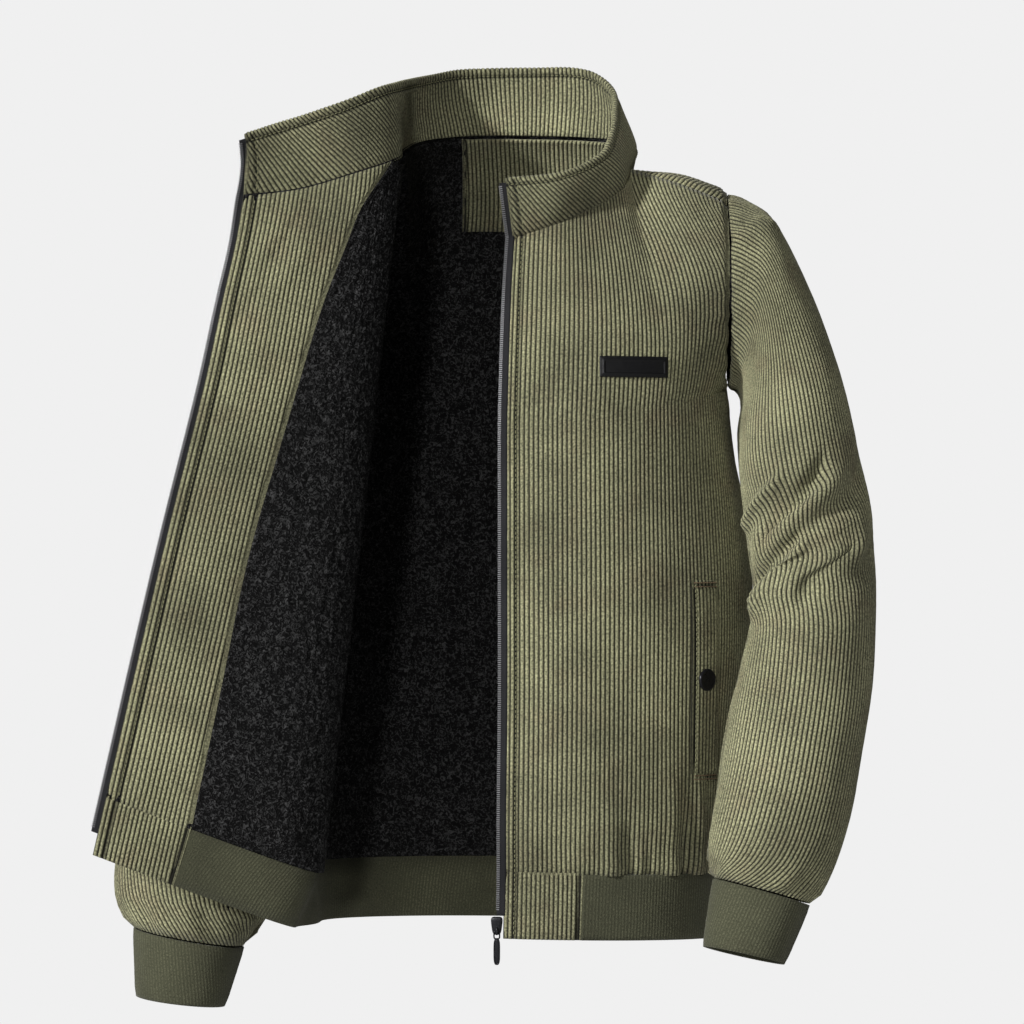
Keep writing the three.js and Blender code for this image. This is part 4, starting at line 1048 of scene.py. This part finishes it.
# Linings: knitted black fleece with a curly pile, sewn to the facings and the hem. The curls
# are raised in the mesh and broken up finer by the finish.
def curls(shape, seed):
    """Seeded bumps about two grid steps across: a random field, blurred once, 0 to 1."""
    field = np.random.default_rng(seed).random(shape)
    for axis in (0, 1):
        field = (np.roll(field, 1, axis) + 2 * field + np.roll(field, -1, axis)) / 4
    field = (field - field.min()) / (field.max() - field.min())
    return np.clip((field - 0.25) * 2.0, 0, 1)


LINING_LENGTH = 560


def fleece_piece(name, surface, levels, across, side, depth, trims, seed):
    """Fleece on a surface: a curly outer skin over a plain one, trimmed at both sides."""
    at = np.broadcast_to(levels[:, None], (len(levels), across))
    share = np.linspace(0, 1, across)[None, :]
    fine = np.linspace(0, 1, 121)
    width = run_across(surface, fine, levels)[:, -1:]
    u = mix(trims[0] / width, 1 - trims[1] / width, share)
    base, normal = surface(u, at), square_to(surface, u, at)
    bump = curls(u.shape, seed)
    outer = base + normal * (depth + side * (FLEECE / 2 - 0.7 + 1.4 * bump))[..., None]
    inner = (base + normal * (depth - side * FLEECE / 2))[::4]
    points, faces, marks = skins(outer, inner, 4)
    run = np.stack([u * width, at * LINING_LENGTH, np.zeros_like(u)], -1)
    run = np.concatenate([run.reshape(-1, 3), run[::4].reshape(-1, 3)])
    pile = np.r_[bump.ravel(), np.zeros(inner.shape[0] * inner.shape[1])]
    piece = mesh_of(name, points, faces, marks, pile, run, (fleece, fleece))
    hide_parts(name.replace("_cloth", ""))


LINING_SHARE = 0.66


def lining_sheet(u, at):
    """Right front from the facing's edge (0) to the side seam (1), one with it near the fold."""
    u, at = together(u, at)
    share = u / LINING_SHARE
    near = mix(column(FACING_ROWS, "u", at), LINING_SHARE, share)
    return right_front(np.where(share < 1, near, u), at)


fleece_piece(
    "lining_right_cloth", lining_sheet, levels_between(0.014, 0.9985, 2.5, 540), 121, 1,
    LINING_DEPTH, (0.1, 3.0), 47,
)
fleece_piece(
    "lining_back_cloth", back, levels_between(0.012, 0.9985, 3.3, 590), 171, -1, -LINING_DEPTH,
    (6.0, 6.0), 53,
)

# Pocket welts: narrow upright corduroy strips over the pocket mouths, folded at the outer edge
# and held by bar tacks at both ends. The right one lies behind the folded flap.
WELT = (145.0, 168.0, -356.0, -526.0)
WELT_THICK = 1.6


def place_on(surface, x, z, start):
    """Panel parameters of the point seen from the front at x and z, by 20 Newton steps."""
    u, at = start
    e = 1e-3
    for _ in range(20):
        p, pu, pv = surface(u, at), surface(u + e, at), surface(u, at + e)
        du, dv = (pu - p) / e, (pv - p) / e
        turn = du[..., 0] * dv[..., 2] - du[..., 2] * dv[..., 0]
        ex, ez = x - p[..., 0], z - p[..., 2]
        step_u = (ex * dv[..., 2] - ez * dv[..., 0]) / turn
        step_at = (ez * du[..., 0] - ex * du[..., 2]) / turn
        u, at = u + step_u, at + step_at
    return float(u), float(at)


def oblong_on(surface, box, start):
    """Sheet over 0 to 1 both ways between two x and two z, its corners blended on the panel."""
    left, right, top, bottom = box
    corners = [place_on(surface, x, z, start) for z in (top, bottom) for x in (left, right)]

    def sheet(s, t):
        s, t = together(s, t)
        u, at = (
            mix(mix(corners[0][k], corners[1][k], s), mix(corners[2][k], corners[3][k], s), t)
            for k in (0, 1)
        )
        return surface(u, at)

    return sheet


left_welt = oblong_on(left_front, WELT, (0.75, 0.7))


def right_welt(s, t):
    """The right welt's place on the panel: a share of its width and of its length."""
    s, t = together(s, t)
    return right_front(mix(0.47, 0.55, s), mix(0.53, 0.85, t))


on_cloth = CORDUROY / 2 + 0.3 + WELT_THICK / 2
for name, surface, side, depth, seed in (
    ("pocket_welt_left_cloth", left_welt, 1, on_cloth + 0.3, 59),
    ("pocket_welt_right_cloth", right_welt, -1, -on_cloth, 61),
):
    welt = corded(
        name, surface, levels_between(0.0, 1.0, 4.0, 170), (corduroy, corduroy), side=side,
        depth=depth, dip=(0.8, 0.9, 0.8, 0.8),
        grooves=((0, 3.0), (2, 5.0), (3, 5.0)), thick=WELT_THICK + 0.8, seed=seed, ridge=1.0,
    )

# Topstitching: olive thread in short stitches that lie in the grooves of the edges above.
thread, thread_tree, thread_shader = new_finish("thread")
twist = node(thread_tree, "ShaderNodeTexWave", in_Scale=900.0, in_Distortion=1.0)
thread_place = node(thread_tree, "ShaderNodeTexCoord")
thread_shade = node(
    thread_tree, "ShaderNodeMix", data_type="RGBA", in_6=(0.10, 0.10, 0.05, 1),
    in_7=(0.24, 0.235, 0.12, 1),
)
wire(
    thread_tree, (thread_place, "Object", twist, "Vector"), (twist, "Fac", thread_shade, "Factor"),
    (thread_shade, 2, thread_shader, "Base Color"),
)
dress(thread_shader, in_Roughness=0.75)


def stitches(name, paths, length=2.9, gap=1.1, radius=0.42, finish=thread):
    """Closed six-sided stitches along paths of points and square directions, sunk at both ends."""
    rings = np.array([0.0, 0.18, 0.5, 0.82, 1.0])
    fat = np.array([0.35, 0.9, 1.0, 0.9, 0.35])
    rise = np.array([-0.35, 0.05, 0.2, 0.05, -0.35])
    turn = np.arange(6) * math.pi / 3
    points, faces, total = [], [], 0
    for path, square in paths:
        run = run_along(path)
        count = max(1, int(run[-1] / (length + gap)))
        starts = np.arange(count) * (run[-1] / count)
        where = starts[:, None] + rings[None, :] * length
        centre = np.stack([np.interp(where, run, path[:, k]) for k in range(3)], -1)
        up = np.stack([np.interp(where, run, square[:, k]) for k in range(3)], -1)
        ahead = unit(centre[:, -1:] - centre[:, :1])
        across = unit(np.cross(ahead, up))
        wide = radius * fat[None, :, None, None]
        out = across[:, :, None] * (np.cos(turn)[None, None, :, None] * wide)
        high = up[:, :, None] * (np.sin(turn)[None, None, :, None] * wide)
        raised = centre[:, :, None] + up[:, :, None] * rise[None, :, None, None]
        points.append((raised + out + high).reshape(-1, 3))
        index = total + np.arange(count * 30).reshape(count, 5, 6)
        nxt = np.roll(index, -1, axis=2)
        side = np.stack([index[:, :-1], nxt[:, :-1], nxt[:, 1:], index[:, 1:]], -1).reshape(-1, 4)
        faces += side.tolist() + index[:, 0, ::-1].tolist() + index[:, -1].tolist()
        total += count * 30
    mesh_of(name, np.concatenate(points), faces, finishes=(finish,))


def line_on(surface, u, at, lift, side=1):
    """Path of points and square directions on a surface, lifted along them."""
    u, at = together(u, at)
    square = square_to(surface, u, at) * side
    return surface(u, at) + square * lift, square


def at_distance(surface, at, distance):
    """The u at a distance in millimetres from a surface's first edge, for each level."""
    fine = np.linspace(0.0, 0.3, 61)
    return np.array([np.interp(distance, r, fine) for r in run_across(surface, fine, at)])


edge_at = np.linspace(0.01, 1.095, 300)
facing_at = np.linspace(0.012, 0.99, 260)
edge_lines = [
    line_on(left_front, at_distance(left_front, edge_at, EDGE_STITCH), edge_at, 0.45),
    line_on(right_front, at_distance(right_front, edge_at, EDGE_STITCH), edge_at, 0.45, -1),
    line_on(
        facing_sheet, at_distance(facing_sheet, facing_at, EDGE_STITCH + 1.5), facing_at,
        FACING_DEPTH + 0.45,
    ),
]
for side in (1, -1):
    s = np.linspace(0.006, 0.994, 400)
    t = np.full_like(s, COLLAR_STITCH / COLLAR_HEIGHT)
    n = square_to(collar_band, s, t) * side
    edge_lines.append((collar_band(s, t) + n * 1.65, n))
for s0 in (0.0145, 0.9855):
    for side in (1, -1):
        t = np.linspace(0.15, 0.97, 60)
        n = square_to(collar_band, np.full_like(t, s0), t) * side
        edge_lines.append((collar_band(np.full_like(t, s0), t) + n * 1.6, n))
welt_t = np.linspace(0.02, 0.98, 120)
edge_lines.append(line_on(left_welt, np.full_like(welt_t, 0.12), welt_t, on_cloth + 0.3 + 0.75))
stitches("topstitching", edge_lines)

# Bar tacks: dense, slightly reddish thread across both ends of each welt.
tack_thread = thread.copy()
tack_thread.name = "tack_thread"
tack_shade = next(n for n in tack_thread.node_tree.nodes if n.type == "MIX")
dress(tack_shade, in_6=(0.06, 0.04, 0.02, 1), in_7=(0.17, 0.11, 0.06, 1))
tack_lines = []
for t0 in (0.012, 0.03, 0.97, 0.988):
    s = np.linspace(0.08, 0.92, 24)
    tack_lines.append(line_on(left_welt, s, np.full_like(s, t0), on_cloth + 0.3 + 1.0))
    tack_lines.append(line_on(right_welt, s, np.full_like(s, t0), on_cloth + 1.0, -1))
stitches("bar_tacks", tack_lines, length=2.2, gap=0.2, radius=0.5, finish=tack_thread)


# Hard black trim: patch, snaps, slider and pull share a dark enamel or rubber with fine wear.
def trim_finish(name, colour, roughness, metallic=0.0, grain=700.0, depth=0.0001):
    """Material of small black fittings: fine mottling in roughness and a slight grain."""
    finish, tree, shader = new_finish(name)
    place = node(tree, "ShaderNodeTexCoord")
    speck = node(tree, "ShaderNodeTexNoise", in_Scale=grain, in_Detail=3.0)
    rough = node(
        tree, "ShaderNodeMapRange", in_1=0.3, in_2=0.7, in_3=roughness * 0.8,
        in_4=min(1.0, roughness * 1.25),
    )
    raised = node(tree, "ShaderNodeBump", in_Strength=0.5, in_Distance=depth)
    tone = node(
        tree, "ShaderNodeMix", data_type="RGBA", in_6=(*(c * 0.7 for c in colour), 1),
        in_7=(*(c * 1.4 for c in colour), 1),
    )
    wire(
        tree, (place, "Object", speck, "Vector"), (speck, "Fac", rough, 0),
        (rough, 0, shader, "Roughness"), (speck, "Fac", raised, "Height"),
        (raised, "Normal", shader, "Normal"), (speck, "Fac", tone, "Factor"),
        (tone, 2, shader, "Base Color"),
    )
    dress(shader, in_Metallic=metallic, in_Specular_IOR_Level=0.25)
    return finish


rubber = trim_finish("patch_rubber", (0.004, 0.004, 0.0045), 0.5)
enamel = trim_finish("black_enamel", (0.014, 0.014, 0.016), 0.32, 0.6, 500.0, 0.00004)


# Chest patch: a soft rubber plate sewn flat to the left front, with a raised frame and no text.
LABEL = (68.5, 125.5, -168.0, -185.5)
PATCH_EDGE = (0, 0.4, 0.9, 2.2, 2.6, 3.6, 4.0, 8)
PATCH_HEIGHT = (0.5, 0.9, 1.0, 1.0, 1.45, 1.45, 0.8, 0.8)
patch_sheet = oblong_on(left_front, LABEL, (0.5, 0.25))


def patch_mesh():
    """Plate height by distance from its edge: a bevel, a flat border, a raised frame, a floor."""
    border = np.array([0, 0.4, 0.9, 2.2, 2.6, 3.6, 4.0, 4.6])
    s_mm = np.r_[border, np.linspace(6, 51, 16), (57 - border)[::-1]]
    t_mm = np.r_[border, 6.6, 8.75, 10.9, (17.5 - border)[::-1]]
    s, t = np.meshgrid(s_mm, t_mm)
    long, high = s_mm[-1], t_mm[-1]
    edge = np.minimum(np.minimum(s, long - s), np.minimum(t, high - t))
    height = np.interp(edge, PATCH_EDGE, PATCH_HEIGHT)
    u, v = s / long, t / high
    base, n = patch_sheet(u, v), square_to(patch_sheet, u, v)
    floor = CORDUROY / 2 + 1.0
    points, faces, _ = skins(base + n * (floor + height)[..., None], base + n * floor)
    piece = mesh_of("label_plate", points, faces, finishes=(rubber,))
    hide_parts("label_patch")


patch_mesh()


# Snaps: pressed metal caps in black, with a rolled rim and a shallow dished face.
def capped_rings(rows, sides):
    """Faces of closed rings of points, one above the other, with a flat face at both ends."""
    index = np.arange(rows * sides).reshape(rows, sides)
    faces = grid_quads(np.concatenate([index, index[:, :1]], axis=1))
    return faces + [index[0, ::-1].tolist(), index[-1].tolist()]


SNAP_RADII = np.array([9.3, 9.5, 9.4, 8.9, 8.2, 7.6, 7.2, 6.6, 4.0, 1.2, 0.3])
SNAP_HEIGHTS = np.array([0.0, 0.5, 1.2, 1.9, 2.3, 2.3, 2.05, 1.9, 1.75, 1.7, 1.7])
SNAP_SIDES = 48


def snap_cap(name, centre, axis):
    """Closed turned shape: rings of the snap's radii and heights about an axis."""
    first = unit(np.cross(axis, [0.0, 0.0, 1.0]))
    second = np.cross(axis, first)
    turn = np.arange(SNAP_SIDES) * 2 * math.pi / SNAP_SIDES
    circle = np.cos(turn)[:, None] * first + np.sin(turn)[:, None] * second
    points = centre + SNAP_RADII[:, None, None] * circle + SNAP_HEIGHTS[:, None, None] * axis
    faces = capped_rings(len(SNAP_RADII), SNAP_SIDES)
    cap = mesh_of(
        name + "_cap", points.reshape(-1, 3), faces, finishes=(enamel,)
    )
    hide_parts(name)


snap_u, snap_at = place_on(left_front, 157.8, -440.0, (0.75, 0.7))
for name, surface, u, at, side in (
    ("snap_left", left_front, snap_u, snap_at, 1),
    ("snap_right", right_front, 0.51, 0.69, -1),
):
    n = square_to(surface, np.array(u), np.array(at)) * side
    base = surface(np.array(u), np.array(at)) + n * (CORDUROY / 2 + 0.6 + WELT_THICK + 0.3)
    snap_cap(name, base, n)

# Zip: woven black tapes along the front edges, hem tabs and collar ends, each with a row of
# moulded teeth on its free edge. The tapes stay apart, so no teeth mesh.
tape = pile_finish(
    "zip_tape", (0.020, 0.020, 0.022), (0.008, 0.008, 0.009), (0.016, 0.016, 0.018),
    across=1800.0, along=1800.0, sheen=0.05, bump=0.0002,
)
teeth_finish = trim_finish("zip_teeth", (0.15, 0.15, 0.155), 0.35, 0.3, 900.0, 0.00003)
TAPE_WIDTH = 5.5
TAPE_HALF = 0.55
TAPE_LENGTH = 700
TOOTH = (1.35, 0.42, 1.15)
TOOTH_PITCH = 1.75
TAPE_COLLAR_SHARE = 0.09
TAPE_COLLAR_TOP = 0.08
TAPE_BOTTOM = 1.064


def tape_sheet(front, end, into):
    """Strip beside a front edge: t down the collar end and the front, s from its free edge."""

    def sheet(s, t):
        s, t = together(s, t)
        on_collar = (t < TAPE_COLLAR_SHARE)[..., None]
        up = mix(TAPE_COLLAR_TOP, 1.0, t / TAPE_COLLAR_SHARE)
        down = mix(0.0, TAPE_BOTTOM, (t - TAPE_COLLAR_SHARE) / (1 - TAPE_COLLAR_SHARE))
        down = np.maximum(down, 0)
        edge = np.where(on_collar, collar_band(end, up), front(np.zeros_like(down), down))
        inner = np.where(
            on_collar, collar_band(end + 0.01 * into, up), front(np.full_like(down, 0.02), down)
        )
        return edge + unit(edge - inner) * (TAPE_WIDTH * (1 - s))[..., None]

    return sheet


def tape_and_teeth(side, front, end, into):
    """The tape as a thin closed strip, and a row of small blocks as its teeth."""
    sheet = tape_sheet(front, end, into)
    t = np.linspace(0.0, 1.0, 201)[:, None]
    s = np.array([[0.0, 0.25, 0.5, 0.75, 1.0, 1.35]])
    u, v = np.broadcast_arrays(s, t)
    base, n = sheet(u, v), square_to(sheet, u, v)
    points, faces, _ = skins(base + n * TAPE_HALF, base - n * TAPE_HALF)
    run = np.stack([u * TAPE_WIDTH, v * TAPE_LENGTH, np.zeros_like(u)], -1).reshape(-1, 3)
    strip = mesh_of(
        f"zip_tape_{side}_cloth", points, faces, (), np.full(len(points), 0.7),
        np.concatenate([run, run]), (tape,),
    )
    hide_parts("zip_tape_" + side)
    path_t = np.linspace(0.004, 0.996, 900)
    edge = sheet(np.full_like(path_t, 0.12), path_t)
    run = run_along(edge)
    places = np.arange(1.0, run[-1] - 1.0, TOOTH_PITCH)
    tt = np.interp(places, run, path_t)
    centre = sheet(np.full_like(tt, 0.12), tt)
    n = square_to(sheet, np.full_like(tt, 0.12), tt)
    out = unit(sheet(np.zeros_like(tt), tt) - sheet(np.full_like(tt, 0.5), tt))
    down = np.cross(n, out)
    half = np.array([[a, b, c] for a in (-1, 1) for b in (-1, 1) for c in (-1, 1)], float)
    corner = half * TOOTH
    points = (
        centre[:, None] + corner[None, :, :1] * out[:, None]
        + corner[None, :, 1:2] * down[:, None] + corner[None, :, 2:] * n[:, None]
    )
    block = np.array(
        [[0, 1, 3, 2], [4, 6, 7, 5], [0, 4, 5, 1], [2, 3, 7, 6], [0, 2, 6, 4], [1, 5, 7, 3]]
    )
    faces = (block[None] + 8 * np.arange(len(tt))[:, None, None]).reshape(-1, 4).tolist()
    teeth = mesh_of(
        f"zip_teeth_{side}", points.reshape(-1, 3), faces, finishes=(teeth_finish,),
    )
    teeth.data.polygons.foreach_set("use_smooth", np.zeros(len(teeth.data.polygons), bool))


tape_and_teeth("left", left_front, 0.0, 1)
tape_and_teeth("right", right_front, 1.0, -1)


# Zip slider: a cast body waisted to its foot, with a bridge on its front that holds the pull.
def soft(value, power):
    """The value to a power, its sign kept: it squares off a circle's sines."""
    return np.sign(value) * np.abs(value) ** power


def pillow(x_half, y_half, z_half, centre, taper=0.0, rows=17, sides=32):
    """Closed rounded block: a superellipsoid of the given half sizes, narrower at its foot."""
    lat = np.linspace(-math.pi / 2, math.pi / 2, rows)[1:-1, None]
    lon = (np.arange(sides) * 2 * math.pi / sides)[None, :]
    z = soft(np.sin(lat), 0.5) * np.ones_like(lon)
    x = soft(np.cos(lat), 0.5) * soft(np.cos(lon), 0.5) * (1 + taper * z)
    y = soft(np.cos(lat), 0.5) * soft(np.sin(lon), 0.5)
    points = np.stack([x * x_half, y * y_half, z * z_half], -1) + centre
    return points.reshape(-1, 3), capped_rings(rows - 2, sides)


def ring(centre, wide, high, bar, thick, turned=False, sides=28, round_by=8):
    """Closed rounded frame: a flat section carried round a superellipse, upright in XZ or YZ."""
    turn = (np.arange(sides) * 2 * math.pi / sides)[:, None]
    across, up = soft(np.cos(turn), 0.5), soft(np.sin(turn), 0.5)
    around = (np.arange(round_by) * 2 * math.pi / round_by)[None, :]
    inset = np.cos(around) * bar / 2
    x = across * (wide / 2 - bar / 2) + inset * np.cos(turn)
    z = up * (high / 2 - bar / 2) + inset * np.sin(turn)
    y = np.sin(around) * thick / 2 * np.ones_like(x)
    points = np.stack([y, x, z] if turned else [x, y, z], -1) + centre
    index = np.arange(sides * round_by).reshape(sides, round_by)
    index = np.concatenate([index, index[:1]], axis=0)
    return points.reshape(-1, 3), grid_quads(np.concatenate([index, index[:, :1]], axis=1))


def joined(*parts):
    """Several closed shapes as one list of points and faces."""
    points, faces, total = [], [], 0
    for part_points, part_faces in parts:
        points.append(part_points)
        faces += [[int(k) + total for k in f] for f in part_faces]
        total += len(part_points)
    return np.concatenate(points), faces


SLIDER_X = -17.0
slider_points, slider_faces = joined(
    pillow(4.5, 1.1, 7.5, (SLIDER_X, -115.4, -644.1), taper=0.22),
    pillow(4.5, 0.9, 7.5, (SLIDER_X, -112.4, -644.1), taper=0.22),
    pillow(1.5, 2.3, 6.6, (SLIDER_X, -114.0, -643.4)),
    ring((SLIDER_X, -118.0, -648.4), 3.9, 6.6, 1.3, 2.4, turned=True),
)
zip_slider_body = mesh_of(
    "zip_slider_body", slider_points, slider_faces, finishes=(enamel,)
)
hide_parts("zip_slider")

# Zip pull: a flat tab with a slot through its head, turning on the slider's bridge.
pull_points, pull_faces = joined(
    ring((SLIDER_X, -117.6, -651.55), 6.0, 7.6, 1.3, 1.3),
    ring((SLIDER_X, -117.6, -665.4), 5.6, 22.4, 1.5, 1.5, sides=40),
    pillow(1.75, 0.35, 9.9, (SLIDER_X, -117.6, -665.4)),
)
zip_pull_tab = mesh_of(
    "zip_pull_tab", pull_points, pull_faces, finishes=(enamel,)
)
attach(zip_pull_tab, "pull")
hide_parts("zip_pull")

# Stage: a plain pale floor under the jacket, in a pale room.
PALE = (0.871, 0.871, 0.871, 1)
FLOOR_HALF = 9
FLOOR_LEVEL = -0.86
floor_mesh = bpy.data.meshes.new("floor")
floor_corners = [
    (x * FLOOR_HALF, y * FLOOR_HALF, FLOOR_LEVEL) for x, y in ((-1, -1), (1, -1), (1, 1), (-1, 1))
]
floor_mesh.from_pydata(floor_corners, [], [(0, 1, 2, 3)])
floor = bpy.data.objects.new("floor", floor_mesh)
scene.collection.objects.link(floor)
floor_finish, floor_tree, floor_shader = new_finish("pale_floor")
dress(floor_shader, in_Base_Color=(0.6, 0.6, 0.6, 1), in_Roughness=0.9)
floor_light = node(floor_tree, "ShaderNodeEmission", in_Color=PALE)
floor_sight = node(floor_tree, "ShaderNodeLightPath")
floor_mix = node(floor_tree, "ShaderNodeMixShader")
wire(
    floor_tree, (floor_sight, "Is Camera Ray", floor_mix, 0), (floor_shader, 0, floor_mix, 1),
    (floor_light, 0, floor_mix, 2),
    (floor_mix, 0, floor_tree.nodes["Material Output"], "Surface"),
)
floor_mesh.materials.append(floor_finish)

world = bpy.data.worlds.new("room")
scene.world = world
world.use_nodes = True
room = world.node_tree
room_light = room.nodes["Background"]
dress(room_light, in_Color=(1, 1, 1, 1), in_Strength=0.05)
room_seen = node(room, "ShaderNodeBackground", in_Color=PALE)
room_sight = node(room, "ShaderNodeLightPath")
room_mix = node(room, "ShaderNodeMixShader")
wire(
    room, (room_sight, "Is Camera Ray", room_mix, 0), (room_light, 0, room_mix, 1),
    (room_seen, 0, room_mix, 2), (room_mix, 0, room.nodes["World Output"], "Surface"),
)


# Light: three suns, a strong key from high on the left, a weak one from the front and a wide
# one from behind, each shining along its aim and so many degrees wide.
for name, energy, aim, size in (
    ("key", 3.9, (0.70, 0.62, -0.38), 5.0),
    ("front", 1.2, (0.18, 0.95, -0.22), 5.0),
    ("rear", 1.2, (0.25, -0.9, -0.5), 20.0),
):
    sun = bpy.data.lights.new(name, "SUN")
    sun.energy = energy
    sun.angle = math.radians(size)
    lamp = bpy.data.objects.new(name, sun)
    lamp.rotation_mode = "QUATERNION"
    lamp.rotation_quaternion = Vector(aim).to_track_quat("-Z", "Y")
    scene.collection.objects.link(lamp)
scene.view_settings.view_transform = "Standard"
